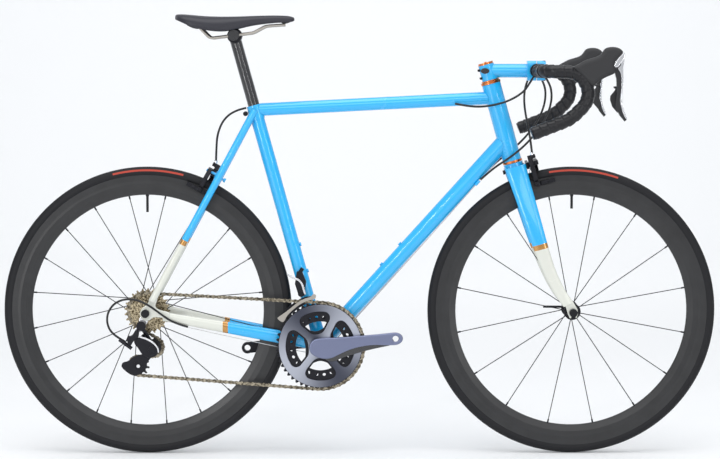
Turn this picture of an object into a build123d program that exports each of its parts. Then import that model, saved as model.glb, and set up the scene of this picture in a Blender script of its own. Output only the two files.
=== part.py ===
from build123d import *
import math
import os

os.makedirs("parts", exist_ok=True)

# Road bicycle, built in millimetres. +X points forward, +Y to the rider's left and
# +Z up. The origin is on the ground, midway between the two axles. The drive side
# is the -Y side.

# Driving dimensions of the frame and its angles.
WHEELBASE = 987.0
TYRE_RADIUS = 335.5
REAR_AXLE = Vector(-WHEELBASE / 2, 0, TYRE_RADIUS)
FRONT_AXLE = Vector(WHEELBASE / 2, 0, TYRE_RADIUS)
BOTTOM_BRACKET = Vector(-91.0, 0, 257.0)
SEAT_ANGLE = math.radians(74.5)
HEAD_ANGLE = math.radians(74.4)
HEAD_LOWER = Vector(354.6, 0, 685.0)
HEAD_LENGTH = 185.0
SEAT_TUBE_LENGTH = 577.0
FRONT_SPACING = 100.0
REAR_SPACING = 130.0

SEAT_UP = Vector(-math.cos(SEAT_ANGLE), 0, math.sin(SEAT_ANGLE))
SEAT_BACK = Vector(-math.sin(SEAT_ANGLE), 0, -math.cos(SEAT_ANGLE))
STEER_UP = Vector(-math.cos(HEAD_ANGLE), 0, math.sin(HEAD_ANGLE))
STEER_AHEAD = Vector(math.sin(HEAD_ANGLE), 0, math.cos(HEAD_ANGLE))
HEAD_UPPER = HEAD_LOWER + STEER_UP * HEAD_LENGTH
SEAT_TOP = BOTTOM_BRACKET + SEAT_UP * SEAT_TUBE_LENGTH
SEAT_CLUSTER = BOTTOM_BRACKET + SEAT_UP * 566
TOP_TUBE_FRONT = HEAD_UPPER - STEER_UP * 34
DOWN_TUBE_FRONT = HEAD_UPPER - STEER_UP * 134

HEAD_TUBE_RADIUS = 22.0
SEAT_TUBE_RADIUS = 15.9
TOP_TUBE_RADIUS = 15.0
DOWN_TUBE_RADIUS = 19.05
SEAT_STAY_RADIUS = 8.2
SHELL_RADIUS = 20.0
SHELL_HALF_WIDTH = 34.0
TUBE_WALL = 1.2
SEAT_POST_RADIUS = 13.6

# Drivetrain.
PITCH = 12.7
ROLLER_RADIUS = 3.85
VALLEY_RADIUS = 4.0
OUTER_TEETH = 50
INNER_TEETH = 34
PULLEY_TEETH = 11
COGS = [11, 12, 13, 14, 15, 16, 17, 19, 21, 23, 25]
COG_IN_USE = 21
COG_SPACING = 3.74
COG_THICKNESS = 1.6
SMALL_COG_Y = -60.5
COG_Y = SMALL_COG_Y + COGS.index(COG_IN_USE) * COG_SPACING
OUTER_RING_Y = -46.0
INNER_RING_Y = -39.0
CRANK_LENGTH = 175.0
CRANK_TILT = math.radians(6.0)
PEDAL_THREAD_RADIUS = 7.1
SPINDLE_RADIUS = 12.0
SPINDLE_GAP = 0.01
GUIDE_PULLEY = Vector(-478.7, COG_Y, 252.5)
CAGE_LENGTH = 56.0

# Wheels.
RIM_RADIUS = 316.5
RIM_HALF_WIDTH = 10.25
RIM_INNER_RADIUS = 269.5
FRONT_SPOKES = 16
REAR_SPOKES = 20
SPOKE_RADIUS = 1.0
AXLE_RADIUS = 6.0
SKEWER_RADIUS = 2.5

# Cockpit.
BAR_CENTRE = Vector(409.0, 0, 893.0)
BAR_HALF_WIDTH = 210.0
BAR_RADIUS = 12.0
CLAMP_RADIUS = 15.9
TAPE_RADIUS = 15.3
STEERER_RADIUS = 14.3

# Clearance between pieces that turn past each other.
RUNNING = 0.05

SIDES = {"right": -1, "left": 1}


def plane_across(start, end):
    """Plane at start, facing end, with its local x level."""
    along = (Vector(*end) - Vector(*start)).normalized()
    level = Vector(0, 1, 0)
    if abs(along.Y) > 0.99:
        level = Vector(1, 0, 0)
    return Plane(origin=start, x_dir=level.cross(along), z_dir=along)


def rod(start, end, radius, mode=Mode.ADD):
    """Straight round bar between two points."""
    start = Vector(*start)
    end = Vector(*end)
    with BuildSketch(plane_across(start, end)) as section:
        Circle(radius)
    extrude(section.sketch, amount=(end - start).length, mode=mode)


def tube(start, end, radius, wall):
    """Straight round tube between two points."""
    start = Vector(*start)
    end = Vector(*end)
    with BuildSketch(plane_across(start, end)) as section:
        Circle(radius)
        Circle(radius - wall, mode=Mode.SUBTRACT)
    extrude(section.sketch, amount=(end - start).length)


def bar_solid(start, end, radius):
    """Straight round bar kept out of the model, used as a cutting tool."""
    start = Vector(*start)
    end = Vector(*end)
    return Solid.make_cylinder(radius, (end - start).length, plane_across(start, end))


def side_plate(outline, y_low, y_high, mode=Mode.ADD):
    """Flat plate with a straight-sided outline of (x, z) points."""
    with BuildSketch(Plane.XZ.offset(-y_high)) as profile:
        Polygon(*outline, align=None)
    extrude(profile.sketch, amount=y_high - y_low, mode=mode)


def side_view(centre, y):
    """Plane across the bicycle through y, drawn with X to the right and Z up."""
    return Plane(origin=(centre.X, y, centre.Z), x_dir=(1, 0, 0), z_dir=(0, -1, 0))


def front_view(x, z):
    """Plane through x that faces forward, drawn from (0, z)."""
    return Plane(origin=(x, 0, z), x_dir=(0, 1, 0), z_dir=(1, 0, 0))


def washer(centre, y_low, y_high, radius, bore=0.0, mode=Mode.ADD):
    """Flat ring or disc whose axis runs along Y."""
    with BuildSketch(side_view(centre, y_high)) as profile:
        Circle(radius)
        if bore:
            Circle(bore, mode=Mode.SUBTRACT)
    extrude(profile.sketch, amount=y_high - y_low, mode=mode)


def swept(path, radius, mode=Mode.ADD):
    """Round bar along a path of tangent runs and arcs."""
    start_plane = Plane(origin=path @ 0, z_dir=path % 0)
    with BuildSketch(start_plane) as section:
        Circle(radius)
    sweep(sections=section.sketch, path=path, mode=mode)


# ---------------------------------------------------------------- frame tubes

head_outer = bar_solid(HEAD_LOWER - STEER_UP * 2, HEAD_UPPER + STEER_UP * 2, HEAD_TUBE_RADIUS)
seat_outer = bar_solid(BOTTOM_BRACKET, SEAT_TOP + SEAT_UP * 20, SEAT_TUBE_RADIUS)
shell_outer = bar_solid(BOTTOM_BRACKET - Vector(0, 60, 0), BOTTOM_BRACKET + Vector(0, 60, 0), SHELL_RADIUS)

with BuildPart() as head_tube:
    tube(HEAD_LOWER, HEAD_UPPER, HEAD_TUBE_RADIUS, 2.0)
head_tube.part.label = "head_tube"
export_step(head_tube.part, "parts/head_tube.step")

with BuildPart() as bottom_bracket_shell:
    shell_start = BOTTOM_BRACKET - Vector(0, SHELL_HALF_WIDTH, 0)
    shell_end = BOTTOM_BRACKET + Vector(0, SHELL_HALF_WIDTH, 0)
    tube(shell_start, shell_end, SHELL_RADIUS, 2.6)
bottom_bracket_shell.part.label = "bottom_bracket_shell"
export_step(bottom_bracket_shell.part, "parts/bottom_bracket_shell.step")

# The seat tube ends in a slanted, slotted collar that clamps the seat post.
with BuildPart() as seat_tube:
    rod(BOTTOM_BRACKET, SEAT_TOP, SEAT_TUBE_RADIUS)
    rod(SEAT_TOP - SEAT_UP * 34, SEAT_TOP, SEAT_TUBE_RADIUS + 1.4)
    rod(BOTTOM_BRACKET, SEAT_TOP, SEAT_POST_RADIUS, mode=Mode.SUBTRACT)
    add(shell_outer, mode=Mode.SUBTRACT)
    slot_start = SEAT_TOP - SEAT_UP * 40 + SEAT_BACK * 10
    slot_plane = Plane(origin=slot_start, x_dir=(0, 1, 0), z_dir=SEAT_BACK)
    with BuildSketch(slot_plane) as slot:
        Rectangle(1.6, 90)
    extrude(slot.sketch, amount=12, mode=Mode.SUBTRACT)
seat_tube.part.label = "seat_tube"
export_step(seat_tube.part, "parts/seat_tube.step")

TUBE_RUNS = {
    "top_tube": (SEAT_CLUSTER, TOP_TUBE_FRONT, TOP_TUBE_RADIUS),
    "down_tube": (BOTTOM_BRACKET, DOWN_TUBE_FRONT, DOWN_TUBE_RADIUS),
}
top_tube_outer = bar_solid(*TUBE_RUNS["top_tube"])
for name, (start, end, radius) in TUBE_RUNS.items():
    with BuildPart() as main_tube:
        rod(start, end, radius)
        add(bar_solid(start, end, radius - TUBE_WALL), mode=Mode.SUBTRACT)
        add(head_outer, mode=Mode.SUBTRACT)
        add(shell_outer, mode=Mode.SUBTRACT)
        add(bar_solid(SEAT_TOP - SEAT_UP * 34, SEAT_TOP, SEAT_TUBE_RADIUS + 1.4), mode=Mode.SUBTRACT)
        add(seat_outer, mode=Mode.SUBTRACT)
    main_tube.part.label = name
    export_step(main_tube.part, f"parts/{name}.step")

# ------------------------------------------------------ stays and drop-outs

# A chain stay is an oval that leaves the shell beside the tyre and then flares.
CHAIN_STAY_STATIONS = [
    (0.0, 21.0, 14.5, 7.5),
    (0.27, 25.5, 15.0, 7.4),
    (0.62, 44.0, 13.0, 7.6),
    (0.95, 65.0, 10.5, 6.6),
]
STAY_END = REAR_AXLE + Vector(22, 0, -4)


def chain_stay_profile(side, share, y_offset, half_tall, half_wide):
    """Oval section of a chain stay at a share of its length."""
    centre = BOTTOM_BRACKET + (STAY_END - BOTTOM_BRACKET) * share
    along = (STAY_END - BOTTOM_BRACKET).normalized()
    plane = Plane(origin=centre + Vector(0, side * y_offset, 0), x_dir=(0, 1, 0), z_dir=along)
    with BuildSketch(plane) as profile:
        Ellipse(half_wide, half_tall)
    return profile.sketch


stay_solids = []
for side in SIDES.values():
    with BuildPart() as stay:
        loft([chain_stay_profile(side, s, y, a, b) for s, y, a, b in CHAIN_STAY_STATIONS])
        inner = [
            chain_stay_profile(side, share, y, deep - TUBE_WALL, wide - TUBE_WALL)
            for share, y, deep, wide in CHAIN_STAY_STATIONS
        ]
        loft(inner, mode=Mode.SUBTRACT)
        add(shell_outer, mode=Mode.SUBTRACT)
        add(seat_outer, mode=Mode.SUBTRACT)
    stay_solids.append(stay.part.solids().sort_by(SortBy.VOLUME)[-1])

with BuildPart() as chainstays:
    for solid in stay_solids:
        add(solid)
chainstays.part.label = "chainstays"
export_step(chainstays.part, "parts/chainstays.step")

# Seat stays run straight from above the drop-outs to the sides of the seat tube.
SEAT_STAY_TOP_Y = 15.0
SEAT_STAY_FOOT_Y = 69.0
SEAT_STAY_DIRECTION = (SEAT_CLUSTER - REAR_AXLE).normalized()
SEAT_STAY_FOOT = REAR_AXLE + SEAT_STAY_DIRECTION * 30

with BuildPart() as seatstays:
    for side in SIDES.values():
        stay_foot = SEAT_STAY_FOOT + Vector(0, side * SEAT_STAY_FOOT_Y, 0)
        stay_head = SEAT_CLUSTER + Vector(0, side * SEAT_STAY_TOP_Y, 0)
        rod(stay_foot, stay_head, SEAT_STAY_RADIUS)
        add(bar_solid(stay_foot, stay_head, SEAT_STAY_RADIUS - TUBE_WALL), mode=Mode.SUBTRACT)
    add(seat_outer, mode=Mode.SUBTRACT)
    add(bar_solid(SEAT_TOP - SEAT_UP * 34, SEAT_TOP, SEAT_TUBE_RADIUS + 1.4), mode=Mode.SUBTRACT)
    add(top_tube_outer, mode=Mode.SUBTRACT)
seatstays.part.label = "seatstays"
export_step(seatstays.part, "parts/seatstays.step")

# Each drop-out is a plate with a slot for the axle; the right one also holds
# the rear derailleur.
DROPOUT_THICKNESS = 6.0
HANGER_BOLT = REAR_AXLE + Vector(-9, 0, -28)
with BuildPart() as dropouts:
    for side in SIDES.values():
        near = side * REAR_SPACING / 2
        far = side * (REAR_SPACING / 2 + DROPOUT_THICKNESS)
        low, high = min(near, far), max(near, far)
        blade = [(30, -14), (34, 4), (14, 30), (22, 40), (8, 42), (-10, 16), (-14, 0), (-12, -14)]
        if side == SIDES["right"]:
            blade = [
                (30, -14), (34, 4), (14, 30), (22, 40), (8, 42),
                (-10, 16), (-14, 0), (-20, -30), (-12, -38), (0, -32),
            ]
        with BuildSketch(side_view(REAR_AXLE, high)) as plate:
            Polygon(*blade, align=None)
            fillet(plate.vertices(), 2.5)
            Circle(AXLE_RADIUS - 1 + RUNNING, mode=Mode.SUBTRACT)
            with Locations((3, -12)):
                Rectangle(2 * (AXLE_RADIUS - 1 + RUNNING), 24, rotation=-14, mode=Mode.SUBTRACT)
        extrude(plate.sketch, amount=high - low)
    rod(HANGER_BOLT - Vector(0, 60, 0), HANGER_BOLT - Vector(0, 80, 0), 5.0, mode=Mode.SUBTRACT)
    for solid in stay_solids:
        add(solid, mode=Mode.SUBTRACT)
    add(seatstays.part, mode=Mode.SUBTRACT)
dropouts.part.label = "dropouts"
export_step(dropouts.part, "parts/dropouts.step")

# ------------------------------------------------------------------- wheels


def wheel_plane(axle):
    """Radial plane of a wheel: local x runs along the axle, local y outwards."""
    return Plane(origin=axle, x_dir=(0, 1, 0), z_dir=(1, 0, 0))


def around(axle):
    """Axis of a wheel."""
    return Axis(axle, (0, 1, 0))


TUBE_CENTRE = 323.0
CASING_RADIUS = 12.5
CASING_WALL = 2.2
INNER_TUBE_RADIUS = 7.8
VALVE_RADIUS = 3.0
VALVE_SHOWING = {"front": 32.0, "rear": 40.0}
TRACK_DEPTH = 14.0
RIM_WALL = 1.6
NIPPLE_RADIUS = 1.9
HUB_SPACING = {"front": FRONT_SPACING, "rear": REAR_SPACING}
AXLES = {"front": FRONT_AXLE, "rear": REAR_AXLE}

RIM_OUTLINE = [
    (RIM_HALF_WIDTH, RIM_RADIUS),
    (RIM_HALF_WIDTH, RIM_RADIUS - TRACK_DEPTH),
    (RIM_HALF_WIDTH + 0.4, RIM_RADIUS - TRACK_DEPTH - 6),
    (8.6, RIM_RADIUS - 32),
    (4.2, RIM_INNER_RADIUS + 1.6),
]
RIM_HOLLOW = [(8.2, 305.0), (8.2, 297.0), (7.0, 286.0), (3.2, 273.0)]


def front_spoke_ends():
    """Flange and rim ends of the radial front spokes."""
    ends = []
    for index in range(FRONT_SPOKES):
        angle = math.radians(360 / FRONT_SPOKES * (index + 0.5))
        side = 1 if index % 2 else -1
        out = Vector(math.sin(angle), 0, math.cos(angle))
        flange = FRONT_AXLE + out * 15.5 + Vector(0, side * 34, 0)
        nipple = FRONT_AXLE + out * 266 + Vector(0, side * 1.5, 0)
        ends.append((flange, nipple))
    return ends


def rear_spoke_ends():
    """Flange and rim ends of the rear spokes, laced two-cross."""
    ends = []
    for index in range(REAR_SPOKES):
        rim_turn = 360 / REAR_SPOKES * (index + 0.5)
        leads = 1 if (index // 2) % 2 else -1
        hub_turn = math.radians(rim_turn + 72 * leads)
        rim_turn = math.radians(rim_turn)
        flange_y = 33.0 if index % 2 else -17.5
        flange_y += 1.8 * leads
        hub_end = Vector(math.sin(hub_turn) * 22.5, flange_y, math.cos(hub_turn) * 22.5)
        rim_end = Vector(math.sin(rim_turn) * 266, 1.5 if index % 2 else -1.5, math.cos(rim_turn) * 266)
        ends.append((REAR_AXLE + hub_end, REAR_AXLE + rim_end))
    return ends


SPOKE_ENDS = {"front": front_spoke_ends(), "rear": rear_spoke_ends()}

for end, axle in AXLES.items():
    section_plane = wheel_plane(axle)
    valve_tip = axle + Vector(0, 0, RIM_INNER_RADIUS - VALVE_SHOWING[end])
    valve_root = axle + Vector(0, 0, TUBE_CENTRE - INNER_TUBE_RADIUS + 1)

    with BuildPart() as tyre:
        with BuildSketch(section_plane) as casing:
            with Locations((0, TUBE_CENTRE)):
                Circle(CASING_RADIUS)
                Circle(CASING_RADIUS - CASING_WALL, mode=Mode.SUBTRACT)
            with Locations((0, RIM_RADIUS + 0.2 - 20)):
                Rectangle(60, 40, mode=Mode.SUBTRACT)
            for side in SIDES.values():
                with Locations((side * 7.7, RIM_RADIUS + 1.0)):
                    Rectangle(5.0, 1.6)
                with Locations((side * 6.2, RIM_RADIUS - 2)):
                    Rectangle(2.0, 6.6)
        revolve(casing.sketch, axis=around(axle))
    tyre.part.label = f"{end}_tyre"
    export_step(tyre.part, f"parts/{end}_tyre.step")

    # The inner tube carries the valve, which comes out through the rim.
    with BuildPart() as inner_tube:
        with BuildSketch(section_plane) as ring:
            with Locations((0, TUBE_CENTRE + 1.5)):
                Circle(INNER_TUBE_RADIUS)
        revolve(ring.sketch, axis=around(axle))
        rod(valve_tip, valve_root + Vector(0, 0, 6), VALVE_RADIUS)
        with BuildSketch(section_plane) as hollow:
            with Locations((0, TUBE_CENTRE + 1.5)):
                Circle(INNER_TUBE_RADIUS - 1)
        revolve(hollow.sketch, axis=around(axle), mode=Mode.SUBTRACT)
    inner_tube.part.label = f"{end}_inner_tube"
    export_step(inner_tube.part, f"parts/{end}_inner_tube.step")

    with BuildPart() as rim:
        mirrored = [(-x, z) for x, z in reversed(RIM_OUTLINE)]
        with BuildSketch(section_plane) as outline:
            with BuildLine():
                Polyline(*RIM_OUTLINE)
                ThreePointArc(RIM_OUTLINE[-1], (0, RIM_INNER_RADIUS), mirrored[0])
                Polyline(*mirrored)
                Line(mirrored[-1], RIM_OUTLINE[0])
            make_face()
            with Locations((0, RIM_RADIUS)):
                Rectangle(15.0, 11.0, mode=Mode.SUBTRACT)
            Polygon(*RIM_HOLLOW, *[(-x, z) for x, z in reversed(RIM_HOLLOW)], align=None, mode=Mode.SUBTRACT)
        revolve(outline.sketch, axis=around(axle))
        for hub_end, rim_end in SPOKE_ENDS[end]:
            outwards = (rim_end - hub_end).normalized()
            rod(rim_end - outwards * 12, rim_end + outwards * 10, NIPPLE_RADIUS + RUNNING, mode=Mode.SUBTRACT)
        rod(valve_tip, valve_root, VALVE_RADIUS + RUNNING, mode=Mode.SUBTRACT)
    rim.part.label = f"{end}_rim"
    export_step(rim.part, f"parts/{end}_rim.step")

    # Spokes hook into the hub flanges and end in nipples inside the rim.
    with BuildPart() as spokes:
        for hub_end, rim_end in SPOKE_ENDS[end]:
            outwards = (rim_end - hub_end).normalized()
            rod(hub_end, rim_end - outwards * 4, SPOKE_RADIUS)
            rod(rim_end - outwards * 4, rim_end + outwards * 8, NIPPLE_RADIUS)
    spokes.part.label = f"{end}_spokes"
    export_step(spokes.part, f"parts/{end}_spokes.step")

# Hub shells turn on cartridge bearings; each end has a flange for the spokes.
HUBS = {
    "front": {"flanges": (-34.0, 34.0), "flange_radius": 19.5, "barrel": 11.0, "ends": (-46.0, 46.0)},
    "rear": {"flanges": (-17.5, 33.0), "flange_radius": 28.0, "barrel": 14.0, "ends": (-20.6, 60.0)},
}
BEARING_RADIUS = 9.0
for end, sizes in HUBS.items():
    axle = AXLES[end]
    low_end, high_end = sizes["ends"]
    with BuildPart() as hub:
        washer(axle, low_end, high_end, sizes["barrel"])
        for flange_y in sizes["flanges"]:
            washer(axle, flange_y - 1.6, flange_y + 1.6, sizes["flange_radius"])
        washer(axle, low_end, high_end, BEARING_RADIUS, mode=Mode.SUBTRACT)
        for hub_end, rim_end in SPOKE_ENDS[end]:
            outwards = (rim_end - hub_end).normalized()
            rod(hub_end - outwards * 0.02, hub_end + outwards * 24, SPOKE_RADIUS, mode=Mode.SUBTRACT)
        washer(axle, low_end, low_end + 7, BEARING_RADIUS, AXLE_RADIUS + RUNNING)
        washer(axle, high_end - 7, high_end, BEARING_RADIUS, AXLE_RADIUS + RUNNING)
    hub.part.label = f"{end}_hub"
    export_step(hub.part, f"parts/{end}_hub.step")

# The axle is fixed in the drop-outs by a skewer through its bore.
CAM_OUT = 16.0
CAM_HALF = 6.0
CAM_RADIUS = 6.5
CAM_PIN_RADIUS = 2.0
for end, axle in AXLES.items():
    half = HUB_SPACING[end] / 2
    with BuildPart() as skewer:
        washer(axle, -half, half, AXLE_RADIUS, SKEWER_RADIUS + 0.2)
        washer(axle, -half - 5, -half, AXLE_RADIUS - 1, SKEWER_RADIUS + 0.2)
        washer(axle, half, half + 5, AXLE_RADIUS - 1, SKEWER_RADIUS + 0.2)
        washer(axle, -half, -half + 2.4, 9.0, AXLE_RADIUS)
        washer(axle, half - 2.4, half, 9.0, AXLE_RADIUS)
        washer(axle, -half - 18, half + 9, SKEWER_RADIUS)
        washer(axle, -half - 18, -half - 6, 9.5, SKEWER_RADIUS)
        washer(axle, half + 6, half + 9, 9.5, SKEWER_RADIUS)
        # Two cheeks and a pin hold the cam of the quick-release lever.
        for low in (-CAM_HALF - 2.5, CAM_HALF + 0.3):
            with BuildSketch(Plane.XY.offset(axle.Z + low)) as cheek:
                with Locations((axle.X, half + 11.5)):
                    Rectangle(11, 9)
                with Locations((axle.X, half + CAM_OUT)):
                    Circle(5.5)
            extrude(cheek.sketch, amount=2.2)
        with BuildSketch(Plane.XY.offset(axle.Z - CAM_HALF - 2.5)) as pin:
            with Locations((axle.X, half + CAM_OUT)):
                Circle(CAM_PIN_RADIUS)
        extrude(pin.sketch, amount=2 * CAM_HALF + 5.0)
    skewer.part.label = f"{end}_skewer"
    export_step(skewer.part, f"parts/{end}_skewer.step")

# The quick-release cam lever stands on the left, folded back when closed.
for end, axle in AXLES.items():
    half = HUB_SPACING[end] / 2
    cam = axle + Vector(0, half + CAM_OUT, 0)
    with BuildPart() as qr_lever:
        with BuildSketch(Plane.XY.offset(axle.Z - CAM_HALF)) as cam_block:
            with Locations((cam.X, cam.Y)):
                Circle(CAM_RADIUS)
        extrude(cam_block.sketch, amount=2 * CAM_HALF)
        with BuildSketch(Plane.XY.offset(axle.Z - 2.5)) as handle:
            with Locations((cam.X - 9, cam.Y + 2)):
                RectangleRounded(20, 7, 3)
            with Locations((cam.X - 35, cam.Y + 4)):
                RectangleRounded(48, 7, 3, rotation=-5)
        extrude(handle.sketch, amount=5)
        with BuildSketch(Plane.XY.offset(axle.Z - CAM_HALF - 1)) as pin_hole:
            with Locations((cam.X, cam.Y)):
                Circle(CAM_PIN_RADIUS + RUNNING)
        extrude(pin_hole.sketch, amount=2 * CAM_HALF + 2, mode=Mode.SUBTRACT)
    qr_lever.part.label = f"{end}_qr_lever"
    export_step(qr_lever.part, f"parts/{end}_qr_lever.step")

# --------------------------------------------------------------- chain path


def pitch_radius(teeth):
    """Radius on which the roller centres of a sprocket lie."""
    return PITCH / (2 * math.sin(math.pi / teeth))


def tangent(first, second):
    """Tangent from one pulley to the next, for wheels given as (x, z, radius, sense)."""
    x1, z1, r1, s1 = first
    x2, z2, r2, s2 = second
    span = math.hypot(x2 - x1, z2 - z1)
    base = math.atan2(z2 - z1, x2 - x1)
    normal = base + math.acos((s1 * r1 - s2 * r2) / span)
    nx, nz = math.cos(normal), math.sin(normal)
    return (x1 + nx * s1 * r1, z1 + nz * s1 * r1), (x2 + nx * s2 * r2, z2 + nz * s2 * r2)


def chain_track(cage_angle):
    """Runs and arcs of the chain, from the cog's top round to the cog again."""
    tension_x = GUIDE_PULLEY.X + CAGE_LENGTH * math.cos(cage_angle)
    tension_z = GUIDE_PULLEY.Z + CAGE_LENGTH * math.sin(cage_angle)
    wheels = [
        (REAR_AXLE.X, REAR_AXLE.Z, pitch_radius(COG_IN_USE), 1),
        (BOTTOM_BRACKET.X, BOTTOM_BRACKET.Z, pitch_radius(OUTER_TEETH), 1),
        (tension_x, tension_z, pitch_radius(PULLEY_TEETH), 1),
        (GUIDE_PULLEY.X, GUIDE_PULLEY.Z, pitch_radius(PULLEY_TEETH), -1),
    ]
    spans = [tangent(wheels[i], wheels[(i + 1) % 4]) for i in range(4)]
    track = []
    for index, (leave, arrive) in enumerate(spans):
        wheel = wheels[(index + 1) % 4]
        next_leave = spans[(index + 1) % 4][0]
        x, z, radius, sense = wheel
        start = math.atan2(arrive[1] - z, arrive[0] - x)
        finish = math.atan2(next_leave[1] - z, next_leave[0] - x)
        turn = (start - finish) * sense % (2 * math.pi)
        track.append(("run", leave, arrive, math.dist(leave, arrive)))
        track.append(("arc", wheel, start, radius * turn))
    return track, (tension_x, tension_z)


def track_point(track, distance):
    """Place on the track, with the piece it lies on."""
    for piece, entry in enumerate(track):
        if distance <= entry[3] or piece == len(track) - 1:
            break
        distance -= entry[3]
    if entry[0] == "run":
        share = distance / entry[3]
        (x1, z1), (x2, z2) = entry[1], entry[2]
        return x1 + (x2 - x1) * share, z1 + (z2 - z1) * share, piece, share
    x, z, radius, sense = entry[1]
    angle = entry[2] - sense * distance / radius
    return x + radius * math.cos(angle), z + radius * math.sin(angle), piece, 0.0


def walk(track, links):
    """Pins one pitch apart along the track, and how far the last one overshoots."""
    total = sum(entry[3] for entry in track)
    pins = [track_point(track, 0.0)]
    at = 0.0
    for step in range(links):
        low, high = at + PITCH, at + PITCH * 1.06
        for halving in range(40):
            middle = (low + high) / 2
            x, z, piece, share = track_point(track, middle % total)
            if math.hypot(x - pins[-1][0], z - pins[-1][1]) < PITCH:
                low = middle
            else:
                high = middle
        at = (low + high) / 2
        pins.append(track_point(track, at % total))
    return pins[:-1], at - total


LINKS = 116
cage_low, cage_high = math.radians(215), math.radians(250)
for halving in range(40):
    cage_angle = (cage_low + cage_high) / 2
    overshoot = walk(chain_track(cage_angle)[0], LINKS)[1]
    if overshoot > 0:
        cage_high = cage_angle
    else:
        cage_low = cage_angle
track, (tension_x, tension_z) = chain_track(cage_angle)
pins, overshoot = walk(track, LINKS)
TENSION_PULLEY = Vector(tension_x, COG_Y, tension_z)
print("cage angle", round(math.degrees(cage_angle), 2), "overshoot", round(overshoot, 4))

# --------------------------------------------------- sprockets and the chain

TOOTH_HEIGHT = 2.6
TOOTH_FLARE = 1.8


def sprocket_face(teeth, centre, y, phase):
    """Toothed disc in the plane y, with one valley at the angle phase."""
    radius = pitch_radius(teeth)
    step = 2 * math.pi / teeth

    def local(angle, across, outwards):
        reach = radius + outwards
        return (
            reach * math.cos(angle) - across * math.sin(angle),
            reach * math.sin(angle) + across * math.cos(angle),
        )

    with BuildSketch(Plane(origin=(centre.X, y, centre.Z), x_dir=(1, 0, 0), z_dir=(0, -1, 0))) as disc:
        with BuildLine():
            for index in range(teeth):
                angle = phase + index * step
                start = local(angle, -VALLEY_RADIUS, 0)
                bottom = local(angle, 0, -VALLEY_RADIUS)
                finish = local(angle, VALLEY_RADIUS, 0)
                tip = local(angle, VALLEY_RADIUS + TOOTH_FLARE, TOOTH_HEIGHT)
                next_tip = local(angle + step, -VALLEY_RADIUS - TOOTH_FLARE, TOOTH_HEIGHT)
                ThreePointArc(start, bottom, finish)
                Line(finish, tip)
                Line(tip, next_tip)
                Line(next_tip, local(angle + step, -VALLEY_RADIUS, 0))
        make_face()
    return disc.sketch


def phase_on(piece, centre):
    """Angle of the first roller that lies on an arc of the track."""
    x, z = next((x, z) for x, z, number, share in pins if number == piece)
    return math.atan2(z - centre.Z, x - centre.X)


def window(centre, y_low, y_high, inner, outer, start, finish, corner):
    """Cuts a rounded sector-shaped window, angles in degrees."""
    with BuildSketch(side_view(centre, y_high)) as opening:
        with BuildLine():
            low, high = math.radians(start), math.radians(finish)
            middle = (low + high) / 2
            places = ((inner, low), (inner, high), (outer, high), (outer, low))
            corners = [(reach * math.cos(turn), reach * math.sin(turn)) for reach, turn in places]
            ThreePointArc(corners[0], (inner * math.cos(middle), inner * math.sin(middle)), corners[1])
            Line(corners[1], corners[2])
            ThreePointArc(corners[2], (outer * math.cos(middle), outer * math.sin(middle)), corners[3])
            Line(corners[3], corners[0])
        make_face()
        fillet(opening.vertices(), corner)
    extrude(opening.sketch, amount=y_high - y_low, mode=Mode.SUBTRACT)


RING_ARC, TENSION_ARC, GUIDE_ARC, COG_ARC = 1, 3, 5, 7
ring_phase = phase_on(RING_ARC, BOTTOM_BRACKET)
cog_phase = phase_on(COG_ARC, REAR_AXLE)

# The cassette: eleven cogs and their spacers on a freehub body.
FREEHUB_RADIUS = 16.8
cogs = []
for index, teeth in enumerate(COGS):
    cog_y = SMALL_COG_Y + index * COG_SPACING
    reach = pitch_radius(teeth) - 8
    with BuildPart() as cog:
        face = sprocket_face(teeth, REAR_AXLE, cog_y + COG_THICKNESS / 2, cog_phase)
        extrude(face, amount=COG_THICKNESS)
        washer(REAR_AXLE, cog_y - 2, cog_y + 2, FREEHUB_RADIUS + RUNNING, mode=Mode.SUBTRACT)
        if reach > 32:
            for number in range(6):
                window(REAR_AXLE, cog_y - 2, cog_y + 2, 24, reach, number * 60 + 8, number * 60 + 52, 3)
    cogs.append(cog.part)

with BuildPart() as cassette:
    washer(REAR_AXLE, -62.6, -21.4, FREEHUB_RADIUS, BEARING_RADIUS)
    washer(REAR_AXLE, -61.4, -56.0, BEARING_RADIUS, AXLE_RADIUS + RUNNING)
    washer(REAR_AXLE, -28.0, -21.4, BEARING_RADIUS, AXLE_RADIUS + RUNNING)
    for index, teeth in enumerate(COGS):
        add(cogs[index], clean=False)
        if teeth != COGS[-1]:
            spacer_radius = min(pitch_radius(teeth) - 5.5, 20.0)
            spacer_y = SMALL_COG_Y + index * COG_SPACING + COG_THICKNESS / 2
            spacer_end = spacer_y + COG_SPACING - COG_THICKNESS - RUNNING
            washer(REAR_AXLE, spacer_y + RUNNING, spacer_end, spacer_radius, FREEHUB_RADIUS + RUNNING)
    washer(REAR_AXLE, -63.4, -62.65, 14.0, 11.0)
cassette.part.label = "cassette"
export_step(cassette.part, "parts/cassette.step")

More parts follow.
